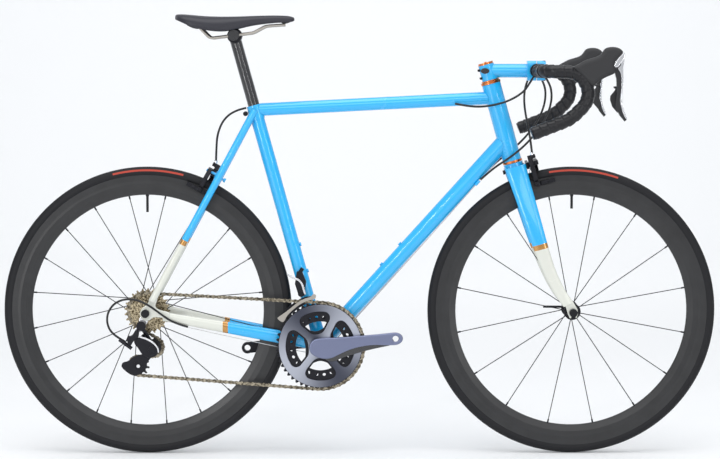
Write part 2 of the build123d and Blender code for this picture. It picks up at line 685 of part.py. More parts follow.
# Chainrings: the outer one has four lobes that meet the arms of the crank.
SPIDER_ANGLES = [math.degrees(CRANK_TILT) + turn for turn in (57, 134, 226, 303)]
LOBE_REACH = 47.4
RING_BAND = 78.0
with BuildPart() as outer_chainring:
    extrude(sprocket_face(OUTER_TEETH, BOTTOM_BRACKET, OUTER_RING_Y + 0.8, ring_phase), amount=1.6)
    washer(BOTTOM_BRACKET, -50.4, -46.0, 95.0)
    washer(BOTTOM_BRACKET, -46.3, -44.0, RING_BAND, mode=Mode.SUBTRACT)
    washer(BOTTOM_BRACKET, -52, -44, LOBE_REACH, mode=Mode.SUBTRACT)
    gaps = [(57, 134), (134, 226), (226, 303), (303, 417)]
    for start, finish in gaps:
        turn = math.degrees(CRANK_TILT)
        window(BOTTOM_BRACKET, -52, -44, LOBE_REACH - 4, RING_BAND, start + turn + 14, finish + turn - 14, 3)
outer_chainring.part.label = "outer_chainring"
export_step(outer_chainring.part, "parts/outer_chainring.step")

with BuildPart() as inner_chainring:
    extrude(sprocket_face(INNER_TEETH, BOTTOM_BRACKET, INNER_RING_Y + 1, ring_phase), amount=2)
    washer(BOTTOM_BRACKET, -42, -36, 48.0, mode=Mode.SUBTRACT)
    for start, finish in gaps:
        turn = math.degrees(CRANK_TILT)
        window(BOTTOM_BRACKET, -42, -36, 44, 59, start + turn + 10, finish + turn - 10, 3)
    for angle in SPIDER_ANGLES:
        out = Vector(math.cos(math.radians(angle)), 0, math.sin(math.radians(angle)))
        bolt = BOTTOM_BRACKET + out * 55
        washer(bolt, -42, -36, 4.2, mode=Mode.SUBTRACT)
        washer(bolt, -44.0, -37.2, 4.15)
        washer(bolt, -37.9, -36.6, 6.6)
inner_chainring.part.label = "inner_chainring"
export_step(inner_chainring.part, "parts/inner_chainring.step")


def arm_section(reach, y_middle, thick, tall, tilt):
    """Rounded section of a crank arm at a distance from the spindle."""
    out = Vector(math.cos(tilt), 0, math.sin(tilt))
    plane = Plane(origin=BOTTOM_BRACKET + out * reach + Vector(0, y_middle, 0), x_dir=(0, 1, 0), z_dir=out)
    with BuildSketch(plane) as profile:
        RectangleRounded(thick, tall, min(thick, tall) * 0.3)
    return profile.sketch


ARM_STATIONS = [(4, 56.0, 11, 34), (60, 61.0, 12, 29), (120, 65.0, 12, 27), (CRANK_LENGTH, 66.5, 13, 26)]
for name, side in SIDES.items():
    tilt = CRANK_TILT if name == "right" else CRANK_TILT + math.pi
    out = Vector(math.cos(tilt), 0, math.sin(tilt))
    pedal = BOTTOM_BRACKET + out * CRANK_LENGTH
    with BuildPart() as crank_arm:
        loft([arm_section(reach, side * y, thick, tall, tilt) for reach, y, thick, tall in ARM_STATIONS])
        low, high = sorted((side * 60.0, side * 73.0))
        washer(pedal, low, high, 13.5)
        low, high = sorted((side * 46.2, side * 63.0))
        washer(BOTTOM_BRACKET, low, high, 20.0)
        if name == "right":
            for angle in SPIDER_ANGLES:
                turn = Vector(math.cos(math.radians(angle)), 0, math.sin(math.radians(angle)))
                wing = Vector(-turn.Z, 0, turn.X)
                arm_face = Plane(origin=BOTTOM_BRACKET - Vector(0, 46.2, 0), x_dir=turn, z_dir=(0, -1, 0))
                with BuildSketch(arm_face) as arm:
                    Polygon((10, -15), (10, 15), (46, 9), (46, -9), align=None)
                extrude(arm.sketch, amount=4.6)
                pad_face = Plane(origin=BOTTOM_BRACKET - Vector(0, 40.4, 0), x_dir=turn, z_dir=(0, -1, 0))
                with BuildSketch(pad_face) as pad:
                    Polygon((39, -9), (39, 9), (61, 7), (61, -7), align=None)
                extrude(pad.sketch, amount=5.8)
                washer(BOTTOM_BRACKET + turn * 55, -46, -40, 4.2, mode=Mode.SUBTRACT)
        low, high = sorted((side * 40.0, side * 80.0))
        washer(pedal, low, high, PEDAL_THREAD_RADIUS, mode=Mode.SUBTRACT)
        washer(BOTTOM_BRACKET, low, high, SPINDLE_RADIUS, mode=Mode.SUBTRACT)
        if name == "right":
            washer(BOTTOM_BRACKET, -63.0, 62.0, SPINDLE_RADIUS - SPINDLE_GAP, SPINDLE_RADIUS - 2)
            washer(BOTTOM_BRACKET, -63.0, -60.0, SPINDLE_RADIUS - 2)
        else:
            washer(BOTTOM_BRACKET, 62.0, 65.0, SPINDLE_RADIUS + 1)
    crank_arm.part.label = f"crank_arm_{name}"
    export_step(crank_arm.part, f"parts/crank_arm_{name}.step")

# Jockey pulleys of the rear derailleur.
PULLEYS = (("guide_pulley", GUIDE_PULLEY, GUIDE_ARC), ("tension_pulley", TENSION_PULLEY, TENSION_ARC))
for name, centre, piece in PULLEYS:
    with BuildPart() as pulley:
        extrude(sprocket_face(PULLEY_TEETH, centre, COG_Y + 1, phase_on(piece, centre)), amount=2)
        washer(centre, COG_Y - 2.6, COG_Y + 2.6, 8.0)
        washer(centre, COG_Y - 4, COG_Y + 4, 2.5 + RUNNING, mode=Mode.SUBTRACT)
    pulley.part.label = name
    export_step(pulley.part, f"parts/{name}.step")

# Chain links: plates in pairs, with rollers on the inner ones, pins on the outer.
PIN_RADIUS = 1.75
PLATE_END = 4.1
INNER_PLATES = (1.1, 1.75)
OUTER_PLATES = (1.95, 2.6)
PIN_END = 2.7
STRAIGHT_SHARE = 0.06


def link_plate(y_low, y_high, bore):
    """Waisted side plate around two pins, the first one at the origin."""
    with BuildSketch(Plane.XZ.offset(-y_high)) as plate:
        with BuildLine():
            top = FilletPolyline((0, PLATE_END), (PITCH / 2, 2.7), (PITCH, PLATE_END), radius=[12])
            Line(top @ 1, (PITCH, -PLATE_END))
            bottom = FilletPolyline((PITCH, -PLATE_END), (PITCH / 2, -2.7), (0, -PLATE_END), radius=[12])
            Line(bottom @ 1, top @ 0)
        make_face()
        with Locations((0, 0), (PITCH, 0)):
            Circle(PLATE_END)
        if bore:
            with Locations((0, 0), (PITCH, 0)):
                Circle(bore, mode=Mode.SUBTRACT)
    extrude(plate.sketch, amount=y_high - y_low)


with BuildPart() as inner_link:
    for side in SIDES.values():
        low, high = sorted((side * INNER_PLATES[0], side * INNER_PLATES[1]))
        link_plate(low, high, PIN_RADIUS + 0.25)
    for x in (0, PITCH):
        washer(Vector(x, 0, 0), -1.15, 1.15, ROLLER_RADIUS, PIN_RADIUS + 0.25)

with BuildPart() as outer_link:
    for side in SIDES.values():
        low, high = sorted((side * OUTER_PLATES[0], side * OUTER_PLATES[1]))
        link_plate(low, high, 0)
    for x in (0, PITCH):
        washer(Vector(x, 0, 0), -PIN_END, PIN_END, PIN_RADIUS)


def pin_y(pin):
    """Distance of a chain pin from the middle plane of the bicycle."""
    x, z, piece, share = pin
    share = min(1.0, max(0.0, (share - STRAIGHT_SHARE) / (1 - 2 * STRAIGHT_SHARE)))
    if piece == RING_ARC:
        return OUTER_RING_Y
    if piece == 0:
        return COG_Y + (OUTER_RING_Y - COG_Y) * share
    if piece == 2:
        return OUTER_RING_Y + (COG_Y - OUTER_RING_Y) * share
    return COG_Y


links = []
for number in range(LINKS):
    here = Vector(pins[number][0], pin_y(pins[number]), pins[number][1])
    following = pins[(number + 1) % LINKS]
    there = Vector(following[0], pin_y(following), following[1])
    along = (there - here).normalized()
    upright = along.cross(Vector(0, 1, 0))
    place = Plane(origin=here, x_dir=along, z_dir=upright).location
    link = outer_link.part if number % 2 else inner_link.part
    links.extend(link.moved(place).solids())

with BuildPart() as chain:
    add(links, clean=False)
chain.part.label = "chain"
export_step(chain.part, "parts/chain.step")

# ------------------------------------------------------- fork and headset

FORK_AXLE_HALF = FRONT_SPACING / 2


def steer_point(height, ahead=0.0, across=0.0):
    """Point measured up and ahead from the lower end of the head tube."""
    return HEAD_LOWER + STEER_UP * height + STEER_AHEAD * ahead + Vector(0, across, 0)


def blade_section(centre, y, deep, wide, along):
    """Oval section of a fork blade."""
    plane = Plane(origin=centre + Vector(0, y, 0), x_dir=(0, 1, 0), z_dir=along)
    with BuildSketch(plane) as profile:
        Ellipse(wide / 2, deep / 2)
    return profile.sketch


BLADE_STATIONS = [
    (steer_point(-14, 2), 22.0, 50.0, 20.0, STEER_UP * -1),
    (steer_point(-60, 3), 27.0, 46.0, 18.0, STEER_UP * -1),
    (steer_point(-120, 5), 37.0, 42.0, 16.0, STEER_UP * -1),
    (steer_point(-205, 8), 46.0, 35.0, 14.0, (FRONT_AXLE - steer_point(-120, 5)).normalized()),
    (FRONT_AXLE + Vector(-10, 0, 18), 53.0, 25.0, 9.0, (FRONT_AXLE - steer_point(-205, 8)).normalized()),
]
with BuildPart() as fork_blades:
    for side in SIDES.values():
        loft([
            blade_section(centre, side * y, deep, wide, along)
            for centre, y, deep, wide, along in BLADE_STATIONS
        ])
        low, high = sorted((side * FORK_AXLE_HALF, side * (FORK_AXLE_HALF + DROPOUT_THICKNESS)))
        with BuildSketch(side_view(FRONT_AXLE, high)) as tip:
            Polygon((-20, 24), (-2, 28), (10, 8), (11, -4), (8, -13), (-8, -13), (-12, -4), align=None)
            fillet(tip.vertices(), 2.5)
            Circle(AXLE_RADIUS - 1 + RUNNING, mode=Mode.SUBTRACT)
            with Locations((1, -12)):
                Rectangle(2 * (AXLE_RADIUS - 1 + RUNNING), 24, mode=Mode.SUBTRACT)
        extrude(tip.sketch, amount=high - low)
    washer(FRONT_AXLE, -FORK_AXLE_HALF, FORK_AXLE_HALF, 40, mode=Mode.SUBTRACT)
    with BuildSketch(Plane(origin=steer_point(-14, 2), x_dir=(0, 1, 0), z_dir=STEER_UP)) as crown_gap:
        Rectangle(200, 200)
    extrude(crown_gap.sketch, amount=60, mode=Mode.SUBTRACT)
fork_blades.part.label = "fork_blades"
export_step(fork_blades.part, "parts/fork_blades.step")

# The crown joins the blades above the tyre and carries the steerer tube.
FRONT_BOLT_HEIGHT = -22.0
with BuildPart() as fork_crown:
    with BuildSketch(Plane(origin=steer_point(-36), x_dir=(0, 1, 0), z_dir=STEER_UP)) as crown_foot:
        RectangleRounded(50, 40, 16)
    with BuildSketch(Plane(origin=steer_point(-6), x_dir=(0, 1, 0), z_dir=STEER_UP)) as crown_top:
        Circle(23)
    loft([crown_foot.sketch, crown_top.sketch])
    rod(steer_point(-10), steer_point(HEAD_LENGTH + 46), STEERER_RADIUS)
    rod(steer_point(-40), steer_point(HEAD_LENGTH + 60), STEERER_RADIUS - 2.2, mode=Mode.SUBTRACT)
    rod(steer_point(FRONT_BOLT_HEIGHT, -40), steer_point(FRONT_BOLT_HEIGHT, 40), 3.05, mode=Mode.SUBTRACT)
    add(fork_blades.part, mode=Mode.SUBTRACT)
fork_crown.part.label = "fork_crown"
export_step(fork_crown.part, "parts/fork_crown.step")

CUP_HEIGHT = 5.0
with BuildPart() as bearing_cups:
    for side in SIDES.values():
        low, high = sorted((side * SHELL_HALF_WIDTH, side * 44.8))
        washer(BOTTOM_BRACKET, low, high, 22.0, SPINDLE_RADIUS + RUNNING)
        low, high = sorted((side * 18.0, side * SHELL_HALF_WIDTH))
        washer(BOTTOM_BRACKET, low, high, SHELL_RADIUS - 2.6, SPINDLE_RADIUS + 2.5)
    for low, high in ((-CUP_HEIGHT, 12.0), (HEAD_LENGTH - 12.0, HEAD_LENGTH + CUP_HEIGHT)):
        rod(steer_point(low), steer_point(high), HEAD_TUBE_RADIUS - 2)
    rod(steer_point(-CUP_HEIGHT), steer_point(0), 23.0)
    rod(steer_point(HEAD_LENGTH), steer_point(HEAD_LENGTH + CUP_HEIGHT), 23.0)
    rod(steer_point(-20), steer_point(HEAD_LENGTH + 20), STEERER_RADIUS + RUNNING, mode=Mode.SUBTRACT)
bearing_cups.part.label = "bearing_cups"
export_step(bearing_cups.part, "parts/bearing_cups.step")

# Rings that turn with the fork: upper cone with its cover, and the top cap.
STEM_FOOT = HEAD_LENGTH + 8.5
STEM_TOP = STEM_FOOT + 37.0
with BuildPart() as headset_rings:
    rod(steer_point(HEAD_LENGTH + CUP_HEIGHT + 0.3), steer_point(STEM_FOOT), 20.5)
    rod(steer_point(STEM_TOP), steer_point(STEM_TOP + 5), 17.5)
    rod(steer_point(HEAD_LENGTH), steer_point(STEM_TOP + 0.5), STEERER_RADIUS, mode=Mode.SUBTRACT)
    rod(steer_point(STEM_TOP - 30), steer_point(STEM_TOP + 6.5), 3.0)
    rod(steer_point(STEM_TOP - 30), steer_point(STEM_TOP - 24), STEERER_RADIUS - 2.2)
headset_rings.part.label = "headset_rings"
export_step(headset_rings.part, "parts/headset_rings.step")

# --------------------------------------------------------------- cockpit

STEM_RADIUS = 16.0
steerer_cut = bar_solid(steer_point(-20), steer_point(HEAD_LENGTH + 80), STEERER_RADIUS)
with BuildPart() as stem:
    rod(steer_point(STEM_FOOT), steer_point(STEM_TOP), 18.5)
    rod(Vector(BAR_CENTRE.X - 108, 0, BAR_CENTRE.Z), Vector(BAR_CENTRE.X - 14, 0, BAR_CENTRE.Z), STEM_RADIUS)
    with BuildSketch(front_view(BAR_CENTRE.X - 22, BAR_CENTRE.Z)) as clamp:
        RectangleRounded(42, 46, 8)
    extrude(clamp.sketch, amount=21)
    washer(BAR_CENTRE, -30, 30, CLAMP_RADIUS, mode=Mode.SUBTRACT)
    add(steerer_cut, mode=Mode.SUBTRACT)
    for height in (STEM_FOOT + 9, STEM_TOP - 9):
        bolt = steer_point(height, -19.5)
        washer(bolt, -11, 11, 3.1, mode=Mode.SUBTRACT)
stem.part.label = "stem"
export_step(stem.part, "parts/stem.step")

with BuildPart() as stem_faceplate:
    with BuildSketch(front_view(BAR_CENTRE.X + 1, BAR_CENTRE.Z)) as plate:
        RectangleRounded(42, 46, 8)
    extrude(plate.sketch, amount=20)
    washer(BAR_CENTRE, -30, 30, CLAMP_RADIUS, mode=Mode.SUBTRACT)
    for y in (-14, 14):
        for z in (-19, 19):
            bolt = BAR_CENTRE + Vector(12, y, z)
            rod(bolt - Vector(20, 0, 0), bolt + Vector(20, 0, 0), 2.55, mode=Mode.SUBTRACT)
            rod(bolt + Vector(4, 0, 0), bolt + Vector(20, 0, 0), 4.4, mode=Mode.SUBTRACT)
stem_faceplate.part.label = "stem_faceplate"
export_step(stem_faceplate.part, "parts/stem_faceplate.step")

# The drop bar: straight tops, a forward bend, the hook and the drop.
BAR_SHAPE = [(0.0, 0.0), (163.0, -5.0), (61.0, -107.0), (-22.0, -139.0)]
BAR_RADII = [38.0, 47.0, 90.0]


def bar_half(side):
    """Corner points of one half of the bar, from the centre outwards."""
    points = [BAR_CENTRE + Vector(x, side * BAR_HALF_WIDTH, z) for x, z in BAR_SHAPE]
    return [BAR_CENTRE] + points


right_half = bar_half(-1)
left_half = bar_half(1)
with BuildLine() as bar_line:
    FilletPolyline(*reversed(right_half[1:]), *left_half[1:], radius=BAR_RADII[::-1] + BAR_RADII)
bar_path = bar_line.wires()[0]

with BuildPart() as handlebar:
    swept(bar_path, BAR_RADIUS)
    washer(BAR_CENTRE, -34, 34, CLAMP_RADIUS)
    swept(bar_path, BAR_RADIUS - 1.8, mode=Mode.SUBTRACT)
    for half in (right_half, left_half):
        end_run = (half[-1] - half[-2]).normalized()
        rod(half[-1] - end_run * 14, half[-1], BAR_RADIUS - 1.85)
        rod(half[-1] + end_run * 0.05, half[-1] + end_run * 4, BAR_RADIUS + 1.5)
handlebar.part.label = "handlebar"
export_step(handlebar.part, "parts/handlebar.step")

TAPE_START = 70.0
with BuildPart() as bar_tape:
    for side, half in ((-1, right_half), (1, left_half)):
        start = BAR_CENTRE + Vector(0, side * TAPE_START, 0)
        with BuildLine() as tape_line:
            FilletPolyline(start, *half[1:], radius=BAR_RADII)
        tape_path = tape_line.wires()[0]
        swept(tape_path, TAPE_RADIUS)
    swept(bar_path, BAR_RADIUS + 0.02, mode=Mode.SUBTRACT)
bar_tape.part.label = "bar_tape"
export_step(bar_tape.part, "parts/bar_tape.step")

# ------------------------------------------------- brake and shift levers

# Outlines are (x, z) measured from the clamp centre of the bar.
HOOD_OUTLINE = [
    (72, 4), (54, 14), (88, 23), (124, 31), (136, 44), (150, 52), (168, 49),
    (182, 33), (173, 8), (155, -9), (118, -32), (100, -27),
]
BRACKET_OUTLINE = [
    (92, 18), (128, 26), (141, 39), (152, 46), (165, 44),
    (175, 31), (168, 10), (152, -4), (118, -25), (104, -20),
]
LEVER_OUTLINE = [
    (160, 26), (172, 30), (177, 17), (172, 4), (175, -22), (170, -66), (176, -90),
    (186, -107), (181, -112), (170, -99), (160, -79), (163, -45), (162, -17), (157, 0),
]
LEVER_SLOT = [(150, 2), (150, 32), (190, 32), (204, 0), (204, -45), (143, -45), (146, -10)]
PADDLE_OUTLINE = [
    (167, -40), (160, -42), (150, -55), (149, -63),
    (154, -79), (166, -93), (171, -79), (164, -60),
]
LEVER_PIVOT = (166.0, 16.0)
LEVER_PIN_RADIUS = 2.5
HOOD_HALF = 17.0
BRACKET_HALF = 11.5
SLOT_HALF = 8.5
LEVER_HALF = 6.5
PADDLE_PIN = (-36.0, 9.4)


def at_bar(outline):
    """Moves an outline from the bar's clamp centre to the model's axes."""
    return [(BAR_CENTRE.X + x, BAR_CENTRE.Z + z) for x, z in outline]


LEVER_AXIS = {
    name: BAR_CENTRE + Vector(LEVER_PIVOT[0], side * BAR_HALF_WIDTH, LEVER_PIVOT[1])
    for name, side in SIDES.items()
}

with BuildPart() as lever_brackets:
    for name, side in SIDES.items():
        middle = side * BAR_HALF_WIDTH
        pivot = LEVER_AXIS[name]
        side_plate(at_bar(BRACKET_OUTLINE), middle - BRACKET_HALF, middle + BRACKET_HALF)
        side_plate(at_bar(LEVER_SLOT), middle - SLOT_HALF, middle + SLOT_HALF, mode=Mode.SUBTRACT)
        washer(pivot, middle - BRACKET_HALF, middle + BRACKET_HALF, LEVER_PIN_RADIUS)
    swept(bar_path, BAR_RADIUS + 0.02, mode=Mode.SUBTRACT)
    add(bar_tape.part, mode=Mode.SUBTRACT)
lever_brackets.part.label = "lever_brackets"
export_step(lever_brackets.part, "parts/lever_brackets.step")

with BuildPart() as brake_hoods:
    for name, side in SIDES.items():
        middle = side * BAR_HALF_WIDTH
        with BuildSketch(Plane.XZ.offset(-middle - HOOD_HALF)) as outline:
            Polygon(*at_bar(HOOD_OUTLINE), align=None)
            fillet(outline.vertices(), 3)
        extrude(outline.sketch, amount=2 * HOOD_HALF)
        side_plate(at_bar(LEVER_SLOT), middle - SLOT_HALF, middle + SLOT_HALF, mode=Mode.SUBTRACT)
        side_plate(at_bar(BRACKET_OUTLINE), middle - BRACKET_HALF, middle + BRACKET_HALF, mode=Mode.SUBTRACT)
    swept(bar_path, BAR_RADIUS + 0.02, mode=Mode.SUBTRACT)
    add(bar_tape.part, mode=Mode.SUBTRACT)
brake_hoods.part.label = "brake_hoods"
export_step(brake_hoods.part, "parts/brake_hoods.step")

for name, side in SIDES.items():
    middle = side * BAR_HALF_WIDTH
    inward = -side
    pin_z = BAR_CENTRE.Z + PADDLE_PIN[0]
    pin_side_y = middle + inward * PADDLE_PIN[1]
    with BuildPart() as brake_lever:
        side_plate(at_bar(LEVER_OUTLINE), middle - LEVER_HALF, middle + LEVER_HALF)
        washer(LEVER_AXIS[name], middle - 8.2, middle + 8.2, 6.0)
        washer(LEVER_AXIS[name], middle - 10, middle + 10, LEVER_PIN_RADIUS + RUNNING, mode=Mode.SUBTRACT)
        for x in (157.0, 169.2):
            ear = Vector(BAR_CENTRE.X + x, 0, 0)
            low, high = sorted((middle + inward * 5.0, pin_side_y + inward * 2.4))
            with BuildSketch(Plane.YZ.offset(ear.X)) as lug:
                with Locations(((low + high) / 2, pin_z)):
                    Rectangle(high - low, 5.0)
            extrude(lug.sketch, amount=2.4)
        rod((BAR_CENTRE.X + 157, pin_side_y, pin_z), (BAR_CENTRE.X + 171.6, pin_side_y, pin_z), 1.2)
    brake_lever.part.label = f"brake_lever_{name}"
    export_step(brake_lever.part, f"parts/brake_lever_{name}.step")

    with BuildPart() as shift_paddle:
        low, high = sorted((middle + inward * 7.4, middle + inward * 10.0))
        side_plate(at_bar(PADDLE_OUTLINE), low, high)
        rod((BAR_CENTRE.X + 159.7, pin_side_y, pin_z), (BAR_CENTRE.X + 168.9, pin_side_y, pin_z), 2.5)
        with BuildSketch(Plane.YZ.offset(BAR_CENTRE.X + 160.5)) as neck:
            with Locations(((low + high) / 2, pin_z - 3)):
                Rectangle(high - low, 6.0)
        extrude(neck.sketch, amount=7)
        pin_start = (BAR_CENTRE.X + 156, pin_side_y, pin_z)
        pin_finish = (BAR_CENTRE.X + 172, pin_side_y, pin_z)
        rod(pin_start, pin_finish, 1.2 + RUNNING, mode=Mode.SUBTRACT)
    shift_paddle.part.label = f"shift_paddle_{name}"
    export_step(shift_paddle.part, f"parts/shift_paddle_{name}.step")

# ---------------------------------------------------------------- brakes

BRAKE_REACH = 46.0
REAR_NORMAL = Vector(-SEAT_STAY_DIRECTION.Z, 0, SEAT_STAY_DIRECTION.X)
REAR_BOLT = REAR_AXLE + SEAT_STAY_DIRECTION * 352
FRONT_CALIPER_PLANE = Plane(
    origin=steer_point(FRONT_BOLT_HEIGHT), x_dir=(0, 1, 0), z_dir=STEER_AHEAD
)
CALIPERS = {
    "front": (FRONT_CALIPER_PLANE, 28.5, 34.5, -23.0),
    "rear": (Plane(origin=REAR_BOLT, x_dir=(0, -1, 0), z_dir=REAR_NORMAL), 7.0, 10.0, -12.0),
}
ARM_THICKNESS = 10.5
C_PIVOT = (19.0, 4.0)
PAD_FACE = 12.0
Y_ARM_OUTLINE = [
    (-2, 8), (-14, 12), (-20, 24), (-28, 24), (-33, 4), (-33, -12),
    (-29, -34), (-23, -50), (-18.4, -50), (-21, -34), (-20, -12), (-2, -8),
]
C_ARM_OUTLINE = [
    (-30, 9), (-30, -1), (8, -4), (13, -4), (20, -12), (21, -34),
    (18.4, -50), (23, -50), (29, -34), (33, -12), (28, 10), (12, 12),
]


def caliper_plate(frame, outline, low, high, mode=Mode.ADD):
    """Plate of a caliper, between two distances along the brake bolt."""
    with BuildSketch(frame.offset(low)) as profile:
        Polygon(*outline, align=None)
    extrude(profile.sketch, amount=high - low, mode=mode)


def caliper_round(frame, x, y, radius, low, high, mode=Mode.ADD):
    """Round boss, pin or hole along the brake bolt's direction."""
    with BuildSketch(frame.offset(low)) as profile:
        with Locations((x, y)):
            Circle(radius)
    extrude(profile.sketch, amount=high - low, mode=mode)


def pad(frame, side, low):
    """Brake shoe beside the rim."""
    outline = [
        (side * PAD_FACE, -BRAKE_REACH - 5), (side * PAD_FACE, -BRAKE_REACH + 5),
        (side * 18.3, -BRAKE_REACH + 5), (side * 18.3, -BRAKE_REACH - 5),
    ]
    caliper_plate(frame, outline, low, low + 48)
    holder = [
        (side * 18.0, -BRAKE_REACH - 4), (side * 18.0, -BRAKE_REACH + 4),
        (side * 20, -BRAKE_REACH + 4), (side * 20, -BRAKE_REACH - 4),
    ]
    caliper_plate(frame, holder, low + 14, low + 32)


for end, (caliper_frame, plate_from, arm_from, bolt_from) in CALIPERS.items():
    split = arm_from + ARM_THICKNESS
    with BuildPart() as y_arm:
        caliper_plate(caliper_frame, Y_ARM_OUTLINE, arm_from, split)
        caliper_round(caliper_frame, 0, 0, 8, arm_from, split)
        caliper_plate(caliper_frame, [(-20, 15), (-20, 24), (-28, 24), (-28, 15)], arm_from, split + 8)
        caliper_plate(caliper_frame, [(-33, -40), (-33, -48), (-18.4, -48), (-18.4, -40)], arm_from, split)
        pad(caliper_frame, -1, arm_from + 1)
        caliper_round(caliper_frame, 0, 0, 3 + RUNNING, arm_from - 5, split + 5, mode=Mode.SUBTRACT)
    y_arm.part.label = f"{end}_brake_y_arm"
    export_step(y_arm.part, f"parts/{end}_brake_y_arm.step")

    with BuildPart() as c_arm:
        caliper_plate(caliper_frame, C_ARM_OUTLINE, split + 0.4, split + ARM_THICKNESS)
        arm_foot = [(33, -40), (33, -48), (18.4, -48), (18.4, -40)]
        caliper_plate(caliper_frame, arm_foot, split + 0.4, split + ARM_THICKNESS)
        pad(caliper_frame, 1, arm_from + 1)
        caliper_round(caliper_frame, *C_PIVOT, 3 + RUNNING, split - 5, split + 30, mode=Mode.SUBTRACT)
    c_arm.part.label = f"{end}_brake_c_arm"
    export_step(c_arm.part, f"parts/{end}_brake_c_arm.step")



def brake_bolt(frame, plate_from, arm_from, bolt_from):
    """Centre bolt of a caliper, with the bracket that carries the offset pivot."""
    split = arm_from + ARM_THICKNESS
    caliper_round(frame, 0, 0, 3, bolt_from, split)
    caliper_round(frame, 0, 0, 5, bolt_from - 5, bolt_from)
    caliper_plate(frame, [(-8, -7), (-8, 8), (26, 12), (26, -4)], plate_from, arm_from - 0.3)
    caliper_round(frame, *C_PIVOT, 3, plate_from, split + ARM_THICKNESS + 2)


# Bolts of the stem and the front brake.
with BuildPart() as cockpit_bolts:
    for y in (-14, 14):
        for z in (-19, 19):
            bolt = BAR_CENTRE + Vector(12, y, z)
            rod(bolt - Vector(10.9, 0, 0), bolt + Vector(4, 0, 0), 2.5)
            rod(bolt + Vector(4, 0, 0), bolt + Vector(8, 0, 0), 4.3)
            rod(bolt + Vector(6, 0, 0), bolt + Vector(8, 0, 0), 2.0, mode=Mode.SUBTRACT)
    for height in (STEM_FOOT + 9, STEM_TOP - 9):
        washer(steer_point(height, -19.5), -10, 10, 3.0)
    brake_bolt(*CALIPERS["front"])
cockpit_bolts.part.label = "cockpit_bolts"
export_step(cockpit_bolts.part, "parts/cockpit_bolts.step")

# ----------------------------------------------------------- derailleurs

FD_CAGE_INNER = 107.5
FD_CAGE_OUTER = 121.0
with BuildPart() as fd_cage:
    for low, high in ((-51.6, -50.7), (-40.1, -39.2)):
        washer(BOTTOM_BRACKET, low, high, FD_CAGE_OUTER, FD_CAGE_INNER)
    washer(BOTTOM_BRACKET, -51.6, -39.2, FD_CAGE_OUTER, FD_CAGE_OUTER - 1.2)
    cage_keep = [(-74, 40), (-140, 70), (-140, 160), (-22, 160), (-10, 95)]
    kept = [(BOTTOM_BRACKET.X + x, BOTTOM_BRACKET.Z + z) for x, z in cage_keep]
    side_plate(kept, -60, -30, mode=Mode.INTERSECT)
    # The chain's upper run passes through the open rear of the cage.
    side_plate([(-250, 338), (-95, 341), (-95, 372), (-250, 372)], -50.6, -40.2, mode=Mode.SUBTRACT)
    washer(Vector(-134, 0, 377), -39.2, -36.9, 5.0)
fd_cage.part.label = "fd_cage"
export_step(fd_cage.part, "parts/fd_cage.step")

with BuildPart() as front_derailleur:
    side_plate([(-128, 372), (-142, 374), (-150, 400), (-146, 428), (-134, 430), (-124, 405)], -33.0, -17.5)
    washer(Vector(-136, 0, 377), -35.7, -33.0, 7.0)
    rod((-140, -26, 424), (-132, -26, 436), 4.5)
    add(seat_outer, mode=Mode.SUBTRACT)
front_derailleur.part.label = "front_derailleur"
export_step(front_derailleur.part, "parts/front_derailleur.step")

CAGE_PLATES = ((COG_Y - 6.0, COG_Y - 4.6), (COG_Y + 4.6, COG_Y + 6.0))
P_PIN_RADIUS = 4.0
B_KNUCKLE_Y = (-86.0, -71.2)
P_KNUCKLE_Y = (-56.0, COG_Y - 6.4)
with BuildPart() as rd_cage:
    cage_run = TENSION_PULLEY - GUIDE_PULLEY
    cage_plane_x = cage_run.normalized()
    for low, high in CAGE_PLATES:
        middle = GUIDE_PULLEY + cage_run * 0.5
        plane = Plane(origin=(middle.X, high, middle.Z), x_dir=cage_plane_x, z_dir=(0, -1, 0))
        with BuildSketch(plane) as cage_plate:
            SlotCenterToCenter(CAGE_LENGTH, 22)
            SlotCenterToCenter(CAGE_LENGTH - 34, 8, mode=Mode.SUBTRACT)
        extrude(cage_plate.sketch, amount=high - low)
    for centre in (GUIDE_PULLEY, TENSION_PULLEY):
        washer(centre, COG_Y - 6.0, COG_Y + 6.0, 2.5)
    washer(GUIDE_PULLEY, -54.0, COG_Y - 6.0, P_PIN_RADIUS)
rd_cage.part.label = "rd_cage"
export_step(rd_cage.part, "parts/rd_cage.step")

with BuildPart() as rear_derailleur:
    washer(HANGER_BOLT, *B_KNUCKLE_Y, 11.0)
    washer(HANGER_BOLT, -71.2, -65.2, 4.95)
    washer(GUIDE_PULLEY, *P_KNUCKLE_Y, 12.5)
    for height in (-7, 7):
        upper_pivot = Vector(HANGER_BOLT.X + 4, -79, HANGER_BOLT.Z + height - 15)
        lower_pivot = Vector(GUIDE_PULLEY.X, -50, GUIDE_PULLEY.Z + height)
        rod(upper_pivot, lower_pivot, 4.6)
    washer(GUIDE_PULLEY, -60, -30, P_PIN_RADIUS + RUNNING, mode=Mode.SUBTRACT)
    washer(GUIDE_PULLEY, -60, -56, 9)
rear_derailleur.part.label = "rear_derailleur"
export_step(rear_derailleur.part, "parts/rear_derailleur.step")

# ------------------------------------------------------------ seat and post

POST_HEAD = Vector(-290, 0, 974.5)
RAIL_RADIUS = 3.5
RAIL_POINTS = [(-374, 36, 998.5), (-344, 30, 967.5), (-245, 21, 980), (-216, 16, 995.5), (-172, 9, 998.5)]
RAIL_BENDS = [16, 30, 30]

with BuildPart() as saddle_rails:
    for side in SIDES.values():
        with BuildLine() as rail_line:
            FilletPolyline(*[(x, side * y, z) for x, y, z in RAIL_POINTS], radius=RAIL_BENDS)
        swept(rail_line.wires()[0], RAIL_RADIUS)
saddle_rails.part.label = "saddle_rails"
export_step(saddle_rails.part, "parts/saddle_rails.step")

